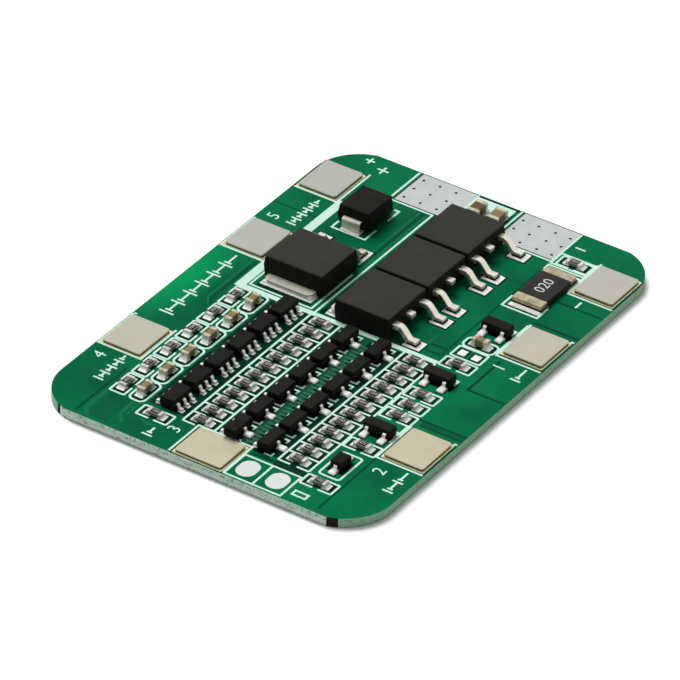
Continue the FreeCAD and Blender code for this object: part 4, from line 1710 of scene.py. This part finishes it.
@dataclass(frozen=True)
class Moulding:
    """A moulded body: drafted sides that part at the height of the leads, and soft edges."""

    parting: float
    draft: float = 7.0
    low_draft: float = 7.0
    edge: float = 0.07
    corner: float = 0.06
    # The lower edge is this share of the upper one
    low_edge_share: float = 0.5
    # The share of its draft that a side has run through where the upper edge begins
    side_share: float = 0.95

    def body(self, extent: Extent) -> Form:
        """Returns the body that fills a box, its sides in the second material, which paints shade on them.
        """
        parting = extent.low.z + self.parting * MM
        low = math.tan(math.radians(self.low_draft)) * (parting - extent.low.z)
        high = math.tan(math.radians(self.draft)) * (extent.high.z - parting)
        edge = self.edge * MM
        low_edge = edge * self.low_edge_share
        form = Form()
        steps = (
            (extent.inset(low + low_edge), extent.low.z),
            (extent.inset(low), extent.low.z + low_edge),
            (extent, parting),
            (extent.inset(high * self.side_share), extent.high.z - edge),
            (extent.inset(high + edge * EASED), extent.high.z - edge * EASED),
            (extent.inset(high + edge), extent.high.z),
        )
        for face in form.levels(steps, corner=self.corner * MM, segments=3):
            heights = [vert.co.z for vert in face.verts]
            # Faces that rise further than the edge are the sides, which take the painted shade
            face.material_index = int(max(heights) - min(heights) > edge)
        return form


@dataclass(frozen=True)
class GullLegs:
    """The formed legs of a small package."""

    sheet: float = 0.13
    width: float = 0.33
    foot: float = 0.3
    bend_radius: float = 0.1
    root_depth: float = 0.1
    # Where the shoulder ends, as a share of the way from the body to the foot
    shoulder: float = 0.45

    def leg(self, form: Form, extent: Extent, facing: Facing) -> Extent:
        """Adds one leg that fills a box and points one way, and returns the outline of its foot."""
        along = facing.value
        length = abs(extent.size.dot(along)) / MM
        top = extent.size.z / MM - self.sheet / 2
        heel = length - self.foot
        root = extent.centre - along * (length / 2 * MM)
        root.z = extent.low.z
        low = self.sheet / 2
        path = ((-self.root_depth, top), (heel * self.shoulder, top), (heel, low), (length, low))
        form.loft(strip_frames(path, self.sheet, self.width, self.bend_radius, root, facing, 2))
        return foot_outline(root + along * (length * MM), self.foot, self.width, facing)


@dataclass
class SmallPackages:
    """Monitors, transistors and the small diode, with their legs and solder."""

    # How far the solder spreads past a foot: in front of it and beside it
    toe_reach: float = 0.1
    side_reach: float = 0.06
    # The same where a leg stands by itself, in front of it and beside it, and in front of a left one
    lone_toe_reach: float = 0.2
    lone_side_reach: float = 0.2
    left_toe_reach: float = 0.02
    climb: float = 0.26
    # A leg this near to the middle of its body stands by itself
    middle_reach: float = 0.3
    # The dimple at the first leg: its place from the corner, its radius and its depth
    mark_place: Point = (0.42, 0.5)
    mark_radius: float = 0.16
    mark_depth: float = 0.03
    moulding: Moulding = Moulding(parting=0.5, edge=0.06, corner=0.05)
    legs: GullLegs = GullLegs()

    def nearest(self, leg: Extent, bodies: Sequence[Extent]) -> Extent:
        """Returns the body that a leg belongs to."""
        return min(bodies, key=lambda body: (leg.centre - body.centre).length)

    def facing_of(self, leg: Extent, body: Extent) -> Facing:
        """Returns the way that a leg points, by the side of the body that it stands at."""
        away = leg.centre - body.centre
        play = 0.1 * MM
        if leg.low.x >= body.high.x - play or leg.high.x <= body.low.x + play:
            return Facing.of(Vector((away.x, 0, 0)))
        return Facing.of(Vector((0, away.y, 0)))

    def solder_leg(self, solder: Form, foot: Extent, facing: Facing, is_lone: bool) -> None:
        """Adds the solder of one leg: a hollow fillet in a row, or a round drop on a leg by itself.

        Args:
            solder: The form to add to.
            foot: The outline of the leg's foot.
            facing: The way that the leg points.
            is_lone: Whether the leg stands by itself.
        """
        side = self.lone_side_reach if is_lone else self.side_reach
        forward = self.lone_toe_reach if is_lone else self.toe_reach
        if facing is Facing.LEFT:
            forward = self.left_toe_reach
        toe = foot.inset(-side * MM).reaching(facing.value * (forward * MM))
        add_fillet(solder, foot, toe, self.climb, DROP_PROFILE if is_lone else FILLET_PROFILE)

    def build(self, solder: Form) -> None:
        """Makes the bodies and the legs, and adds the legs' solder to a form."""
        finishes = [FINE_MOULDING, MOULDED_SIDE_PAINTED_SHADE]
        for legs_node, nodes in PACKAGES.items():
            is_monitor = legs_node.startswith("cell_monitor")
            boxes = [Extent.of_node(node) for node in nodes]
            for node, box in zip(nodes, boxes):
                mesh = self.moulding.body(box).to_mesh(node, finishes)
                if is_monitor:
                    mesh = carve(mesh, self.first_leg_mark(box))
                set_piece(f"{node}_moulding", mesh, finishes, [node])
            form = Form()
            for leg in extents(legs_node):
                body = self.nearest(leg, boxes)
                facing = self.facing_of(leg, body)
                foot = self.legs.leg(form, leg, facing)
                is_apart = legs_node.startswith(("driver", "signal"))
                is_middle = abs(leg.centre.y - body.centre.y) < self.middle_reach * MM
                self.solder_leg(solder, foot, facing, is_apart or (is_middle and not is_monitor))
            set_piece(f"{legs_node}_formed", form, [LEG_TIN], [legs_node])

    def first_leg_mark(self, box: Extent) -> Form:
        """Returns the cutter of the round dimple that marks the first leg."""
        form = Form()
        x, y = (step * MM for step in self.mark_place)
        place = Vector((box.low.x + x, box.low.y + y, box.high.z))
        form.rod(place, self.mark_radius * MM, 2 * self.mark_depth * MM, 20)
        return form


@dataclass
class PowerSwitches:
    """The four power switches: moulding, heat tab, two formed legs and the cropped one between them."""

    count: int = 4
    sheet: float = 0.5
    leg_width: float = 0.76
    leg_offset: float = 2.285
    leg_top: float = 1.55
    leg_shoulder: float = 0.75
    leg_reach: float = 2.6
    foot: float = 0.95
    stub_reach: float = 0.65
    root_depth: float = 0.5
    bend_radius: float = 0.6
    leg_edge: float = 0.07
    tab_width: float = 5.3
    tab_reach: float = 1.0
    # How far the tab goes in under the moulding, as a share of half the moulding
    tab_start: float = 0.3
    tab_chamfer: float = 0.45
    tab_edge: float = 0.05
    bare_band: float = 0.1
    # Reach and climb of the solder at the heat tab and at a foot, and the height of the band of flux and
    # painted shade
    tab_solder: Point = (0.12, 0.2)
    foot_solder: Point = (0.35, 0.12)
    residue_and_shade: float = 0.2

    def strip(
        self, form: Form, path: Sequence[tuple[float, float]], root: Vector, facing: Facing
    ) -> None:
        """Adds a stamped strip with its long edges softened."""
        frames = strip_frames(path, self.sheet, self.leg_width, self.bend_radius, root, facing)
        faces = form.loft(frames, material=2)
        form.soften(corner_edges(faces), self.leg_edge * MM)

    def heat_tab(self, form: Form, body: Extent, facing: Facing) -> Extent:
        """Adds the heat tab with its two cropped corners, and returns its outline."""
        rear = facing.opposite
        half = abs(body.size.dot(facing.value)) / 2 / MM
        end = body.centre + rear.value * ((half + self.tab_reach) * MM)
        length = half * (1 + self.tab_start) + self.tab_reach
        outline = foot_outline(end, length, self.tab_width, rear)
        low = outline.low.z = body.low.z
        high = outline.high.z = body.low.z + self.sheet * MM
        band = high - self.bare_band * MM
        faces = form.levels([(outline, low), (outline, band), (outline, high)])
        uprights = {
            edge
            for face in faces
            for edge in face.edges
            if is_upright(edge) and (edge.verts[0].co - body.centre).dot(rear.value) > half * MM
        }
        form.soften(uprights, self.tab_chamfer * MM, 1)
        rim = [
            edge
            for edge in corner_edges(form.mesh.faces)
            if all(abs(vert.co.z - high) < SAME_LEVEL for vert in edge.verts)
        ]
        form.soften(rim, self.tab_edge * MM)
        for face in form.mesh.faces:
            heights = [vert.co.z for vert in face.verts]
            is_band = abs(min(heights) - band) < SAME_LEVEL and max(heights) > min(heights)
            face.material_index = int(is_band)
        return outline

    def leg_path(self) -> Sequence[Point]:
        """Returns the middle line of a formed leg, as reach and height."""
        low = self.sheet / 2
        top = self.leg_top - low
        heel = self.leg_reach - self.foot
        return (-self.root_depth, top), (self.leg_shoulder, top), (heel, low), (self.leg_reach, low)

    def build(self, solder: Form, flux: Form) -> None:
        """Makes the four switches, and adds their solder and their bands of flux and painted shade to two
        forms.
        """
        path = self.leg_path()
        top = path[0][1]
        finishes = [MOULDING, MOULDED_SIDE_PAINTED_SHADE]
        moulding = Moulding(parting=top, low_draft=4.0, edge=0.12, corner=0.12)
        for number in range(1, self.count + 1):
            node = f"power_switch_{number}"
            body, metal = Extent.of_node(node), Extent.of_node(f"{node}_frame")
            mould = moulding.body(body)
            set_piece(f"{node}_moulding", mould, finishes, [node])
            # The legs reach further than the heat tab, so the frame's middle lies at their side
            facing = Facing.of(metal.centre - body.centre)
            form = Form()
            tab = self.heat_tab(form, body, facing)
            spread, climb = self.tab_solder
            add_fillet(solder, tab, tab.inset(-spread * MM), climb)
            edge = body.centre + facing.value * (abs(body.size.dot(facing.value)) / 2)
            edge.z = body.low.z
            for side in (-1, 1):
                root = edge + facing.side * (side * self.leg_offset * MM)
                self.strip(form, path, root, facing)
                toe = root + facing.value * (self.leg_reach * MM)
                foot = foot_outline(toe, self.foot, self.leg_width, facing)
                spread, climb = self.foot_solder
                add_fillet(solder, foot, foot.inset(-spread * MM), climb)
                add_residue_and_shade(flux, foot, self.residue_and_shade)
            self.strip(form, ((-self.root_depth, top), (self.stub_reach, top)), edge, facing)
            metals = [TIN_PLATE, SHEARED_AND_SHADED, LEAD_TIN]
            set_piece(f"{node}_leads", form, metals, [f"{node}_frame"])


@dataclass
class ClampDiode:
    """The clamp diode: a tall moulding with a strip folded down each end."""

    sheet: float = 0.2
    width: float = 2.0
    reach: float = 0.45
    top: float = 1.2
    tuck: float = 1.1
    root_depth: float = 0.4
    bend_radius: float = 0.18
    strip_edge: float = 0.03
    # The part of the foot that is soldered reaches in under the body by the first length
    foot_start: float = 0.2
    # Spread of the solder beside and in front of the foot, and its climb
    solder_spread: Point = (0.05, 0.12)
    climb: float = 0.16

    def build(self, solder: Form) -> None:
        """Makes the body and the terminals, and adds their solder to a form."""
        body, metal = Extent.of_node("clamp_diode"), Extent.of_node("clamp_diode_terminals")
        low = self.sheet / 2
        top, outer = self.top - low, self.reach - low
        parting = metal.low.z / MM + top - body.low.z / MM
        mould = Moulding(parting=parting, edge=0.12, corner=0.12).body(body)
        finishes = [FINE_MOULDING, MOULDED_SIDE_PAINTED_SHADE]
        set_piece("clamp_diode_moulding", mould, finishes, ["clamp_diode"])
        form = Form()
        path = ((-self.root_depth, top), (outer, top), (outer, low), (-self.tuck, low))
        for facing in (Facing.FRONT, Facing.BACK):
            root = body.centre + facing.value * (body.size.y / 2)
            root.z = metal.low.z
            frames = strip_frames(path, self.sheet, self.width, self.bend_radius, root, facing, 5)
            form.soften(corner_edges(form.loft(frames)), self.strip_edge * MM)
            toe = root + facing.value * (self.reach * MM)
            foot = foot_outline(toe, self.reach + self.foot_start, self.width, facing)
            spread = [-step * MM for step in self.solder_spread]
            add_fillet(solder, foot, foot.inset(*spread), self.climb)
        nodes = ["clamp_diode_terminals"]
        set_piece("clamp_diode_strips", form, [TIN_PLATE], nodes)


# Chips


@dataclass
class Chips:
    """Chip resistors and capacitors with their plated ends."""

    resistor_nodes: tuple[str, ...] = (
        "filter_resistors",
        "gate_resistors",
        "sense_resistors",
        "bias_resistors",
    )
    glaze_cover: float = 0.8
    glaze_rise: float = 0.02
    glaze_side: float = 0.09
    glaze_edge: float = 0.03
    edge: float = 0.03
    capacitor_edge: float = 0.06
    cap_edge: float = 0.05
    cap_rise: float = 0.008
    fired_end: float = 0.04
    bulk_width: float = 1.0
    codes: tuple[str, ...] = ("102", "471", "203", "104")
    code_height: float = 0.34
    ink: float = 0.008
    toe_reach: float = 0.32
    side_reach: float = 0.04
    climb_share: float = 0.55
    most_climb: float = 0.4

    def resistors(self, node: str, letters: Sequence[Mesh]) -> None:
        """Makes the resistors of one node: alumina, black glaze over it, and a plain number."""
        form = Form()
        for index, chip in enumerate(extents(node)):
            form.soft_block(chip, self.edge * MM, 0, 1)
            along_x = chip.lies_along_x
            glaze = (max(chip.size.x, chip.size.y) - self.glaze_cover * MM) / 2
            across = self.glaze_side * MM
            cover = chip.inset(glaze, across) if along_x else chip.inset(across, glaze)
            top = chip.high.z + self.glaze_rise * MM
            steps = (
                (cover, chip.high.z - SINK * MM),
                (cover, top - SINK * MM),
                (cover.inset(self.glaze_edge * MM), top),
            )
            form.levels(steps, material=1, corner=COAT_CORNER * MM, segments=2)
            place = Matrix.Translation((chip.centre.x, chip.centre.y, top + self.ink * MM / 2))
            turn = Matrix.Rotation(0.0 if along_x else math.radians(90), 4, "Z")
            form.add(letters[index % len(letters)], place @ turn, 2)
        # The alumina's mid grey is painted shade on the chips' sides
        finishes = [ALUMINA_PAINTED_SHADE, GLAZE, MARKING]
        set_piece(f"{node}_fired", form, finishes, [node])

    def capacitors(self, chips: Sequence[Extent]) -> None:
        """Makes the capacitors: of the two larger ones, the left one is of the darker ceramic."""
        bulks = [chip for chip in chips if chip.shorter > self.bulk_width * MM]
        dark = min(bulks, key=lambda chip: chip.low.x)
        form = Form()
        for chip in chips:
            form.soft_block(chip, self.capacitor_edge * MM, int(chip is dark))
        node = "ceramic_capacitors"
        set_piece(f"{node}_fired", form, [TITANATE, DARK_TITANATE], [node])

    def build(self, solder: Form) -> None:
        """Makes all the chips and their ends, and adds their solder to a form."""
        letters = [lettering(code, self.code_height, self.ink) for code in self.codes]
        for node in self.resistor_nodes:
            self.resistors(node, letters)
        ceramics = extents("ceramic_capacitors")
        self.capacitors(ceramics)
        chips = list(itertools.chain(*(extents(node) for node in self.resistor_nodes))) + ceramics
        form = Form()
        for cap in extents("chip_end_caps"):
            chip = min(chips, key=lambda one: (one.centre - cap.centre).length)
            facing = Facing.of(cap.centre - chip.centre)
            is_ceramic = chip in ceramics
            full = cap.inset(-self.cap_rise * MM)
            if is_ceramic:
                full = full.reaching(facing.value * (-self.fired_end * MM))
            form.soft_block(full, self.cap_edge * MM, int(is_ceramic))
            toe = cap.inset(-self.side_reach * MM).reaching(facing.value * (self.toe_reach * MM))
            climb = min(self.most_climb, cap.size.z / MM * self.climb_share)
            add_fillet(solder, cap, toe, climb)
        finishes = [BARREL_TIN, FIRED_TIN]
        set_piece("chip_end_caps_plated", form, finishes, ["chip_end_caps"])


@dataclass
class CurrentShunt:
    """The wide chip in the load path: coated alloy between two plated ends."""

    coat_rise: float = 0.03
    # How far the coat goes over the ends, and its upper edge: two steps inward, the last one upward
    coat_lap: float = 0.05
    coat_edge: float = 0.06
    coat_step: float = 0.02
    end_edge: float = 0.07
    number: str = "020"
    number_height: float = 1.15
    ink: float = 0.015
    side_reach: float = 0.06
    toe_reach: float = 0.4
    climb: float = 0.12
    residue_and_shade: float = 0.16

    def coat(self, core: Extent, ends: Sequence[Extent]) -> None:
        """Makes the coated strip between the ends, with its number."""
        lap = self.coat_lap * MM
        inner = Extent(
            Vector((core.low.x, min(end.high.y for end in ends) - lap, core.low.z)),
            Vector((core.high.x, max(end.low.y for end in ends) + lap, core.high.z)),
        )
        top = max(end.high.z for end in ends) + self.coat_rise * MM
        edge, step = self.coat_edge * MM, self.coat_step * MM
        steps = (
            (inner, core.low.z),
            (inner, top - edge),
            (inner.inset(step), top - step),
            (inner.inset(edge), top),
        )
        form = Form()
        form.levels(steps, corner=edge)
        letters = lettering(self.number, self.number_height, self.ink)
        place = Matrix.Translation((core.centre.x, core.centre.y, top + self.ink * MM / 2))
        form.add(letters, place @ Matrix.Rotation(math.radians(90), 4, "Z"), 1)
        node = "current_shunt"
        set_piece(f"{node}_coated", form, [ALLOY_COAT, MARKING], [node])

    def build(self, solder: Form, flux: Form) -> None:
        """Makes the coated strip and its ends, and adds their solder and their bands of flux and painted
        shade to two forms.
        """
        core = Extent.of_node("current_shunt")
        ends = extents("current_shunt_terminals")
        self.coat(core, ends)
        form = Form()
        for end in ends:
            form.soft_block(end, self.end_edge * MM, 0, 3)
            facing = Facing.of(end.centre - core.centre)
            toe = end.inset(-self.side_reach * MM).reaching(facing.value * (self.toe_reach * MM))
            add_fillet(solder, end, toe, self.climb)
            add_residue_and_shade(flux, end, self.residue_and_shade)
        nodes = ["current_shunt_terminals"]
        set_piece("current_shunt_ends", form, [WORN_TIN], nodes)


# Studio


@dataclass
class Studio:
    """Pale floor, soft light and the camera, in metres and degrees."""

    white: str = "#ffffff"
    sensor_width: float = 36.0
    clip: tuple[float, float] = (0.01, 10.0)
    azimuth: float = 32.2614
    elevation: float = 34.5296
    roll: float = 2.133
    distance: float = 0.60858
    target: Triple = (0.0000315, -0.0021769, 0.001)
    lens: float = 349.677
    floor_size: float = 3.0
    floor_drop: float = 0.00002
    ambient: float = 0.22
    floor_colour: str = "#d2d2d0"
    floor_glow: float = 0.08
    sun_strength: float = 2.83
    sun_azimuth: float = -68.0
    sun_elevation: float = 60.0
    sun_angle: float = 34.0

    def seen(self, tree: Tree) -> Socket:
        """Returns 1 for the rays that show the backdrop: from the camera, off metal or through glass."""
        path = add_node(tree, "ShaderNodeLightPath")
        seen = path.outputs["Is Camera Ray"]
        for ray in ("Is Glossy Ray", "Is Transmission Ray"):
            both = {0: seen, 1: path.outputs[ray]}
            seen = add_node(tree, "ShaderNodeMath", {"operation": "MAXIMUM"}, both).outputs["Value"]
        return seen

    def light_world(self) -> None:
        """Sets an even pale surround that is white where it is seen."""
        world = bpy.data.worlds.new("studio")
        bpy.context.scene.world = world
        tree = empty_tree(world)
        ends = {"To Min": self.ambient, "To Max": 1.0}
        strength = add_node(tree, "ShaderNodeMapRange", ends, {"Value": self.seen(tree)})
        surround = add_node(
            tree,
            "ShaderNodeBackground",
            {"Color": linear(self.white)},
            {"Strength": strength.outputs["Result"]},
        )
        add_node(tree, "ShaderNodeOutputWorld", {}, {"Surface": surround.outputs["Background"]})

    def lay_floor(self) -> None:
        """Lays the floor: matt, and white where it is seen outside the board's shadow."""
        material = bpy.data.materials.new("matt_paper")
        tree = empty_tree(material)
        seen = self.seen(tree)
        tone = add_node(
            tree,
            "ShaderNodeMix",
            {"data_type": "RGBA", MIX_A: linear(self.floor_colour), MIX_B: linear(self.white)},
            {MIX_FACTOR: seen},
        )
        paper = add_node(tree, "ShaderNodeBsdfDiffuse", {}, {"Color": tone.outputs[MIX_RESULT]})
        glow = add_node(
            tree, "ShaderNodeMapRange", {"To Min": 0.0, "To Max": self.floor_glow}, {"Value": seen}
        )
        light = add_node(
            tree,
            "ShaderNodeEmission",
            {"Color": linear(self.white)},
            {"Strength": glow.outputs["Result"]},
        )
        both = add_node(
            tree,
            "ShaderNodeAddShader",
            {},
            {0: paper.outputs["BSDF"], 1: light.outputs["Emission"]},
        )
        add_node(tree, "ShaderNodeOutputMaterial", {}, {"Surface": both.outputs["Shader"]})
        form = bmesh.new()
        bmesh.ops.create_grid(form, x_segments=1, y_segments=1, size=self.floor_size / 2)
        bmesh.ops.translate(form, vec=(0, 0, -self.floor_drop), verts=form.verts)
        mesh = bpy.data.meshes.new("floor")
        form.to_mesh(mesh)
        form.free()
        mesh.materials.append(material)
        put("floor", mesh)

    def hang_sun(self) -> None:
        """Hangs one broad soft lamp behind the board and to its left."""
        lamp = bpy.data.lights.new("soft_lamp", "SUN")
        lamp.energy = self.sun_strength
        lamp.angle = math.radians(self.sun_angle)
        holder = put("soft_lamp", lamp)
        tilt = math.radians(90 - self.sun_elevation)
        turn = math.radians(self.sun_azimuth)
        toward = Vector(
            (math.sin(turn) * math.sin(tilt), math.cos(turn) * math.sin(tilt), math.cos(tilt))
        )
        holder.rotation_mode = "QUATERNION"
        holder.rotation_quaternion = toward.to_track_quat("Z", "Y")
        holder.visible_glossy = False

    def set_camera(self) -> None:
        """Sets the camera over the board's front-right corner, turned a little about its axis."""
        turn, rise, roll = (math.radians(a) for a in (self.azimuth, self.elevation, self.roll))
        back = Vector((math.sin(turn) * math.cos(rise), -math.cos(turn) * math.cos(rise), math.sin(rise)))
        level = Vector((math.cos(turn), math.sin(turn), 0))
        right = level * math.cos(roll) + back.cross(level) * math.sin(roll)
        axes = Matrix((right, back.cross(right), back)).transposed().to_4x4()
        data = bpy.data.cameras.new("camera")
        data.lens = self.lens
        data.sensor_width = self.sensor_width
        data.clip_start, data.clip_end = self.clip
        camera = put("camera", data)
        camera.matrix_world = Matrix.Translation(Vector(self.target) + back * self.distance) @ axes
        bpy.context.scene.camera = camera

    def build(self) -> None:
        """Sets up the whole studio."""
        self.light_world()
        self.lay_floor()
        self.hang_sun()
        self.set_camera()
        bpy.context.scene.view_settings.view_transform = "Standard"


def main() -> None:
    """Builds the board's looks in order, then the studio."""
    logging.basicConfig(level=logging.INFO, format="%(message)s")
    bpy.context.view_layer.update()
    vias = ViaField()
    Laminate(drills=vias.drills()).build()
    vias.build()
    CopperPattern().build()
    Legend().build()
    Lands(drills=vias.drills).build()
    WeldTabs().build()
    # The second form gathers the bands of flux and painted shade at the feet
    solder, flux = Form(), Form()
    SmallPackages().build(solder)
    PowerSwitches().build(solder, flux)
    ClampDiode().build(solder)
    Chips().build(solder)
    CurrentShunt().build(solder, flux)
    set_piece("solder_fillets", solder, [SOLDER])
    set_piece("flux_residue_and_painted_shade", flux, [FLUX_AND_SHADE])
    Studio().build()


if __name__ == "__main__":
    main()
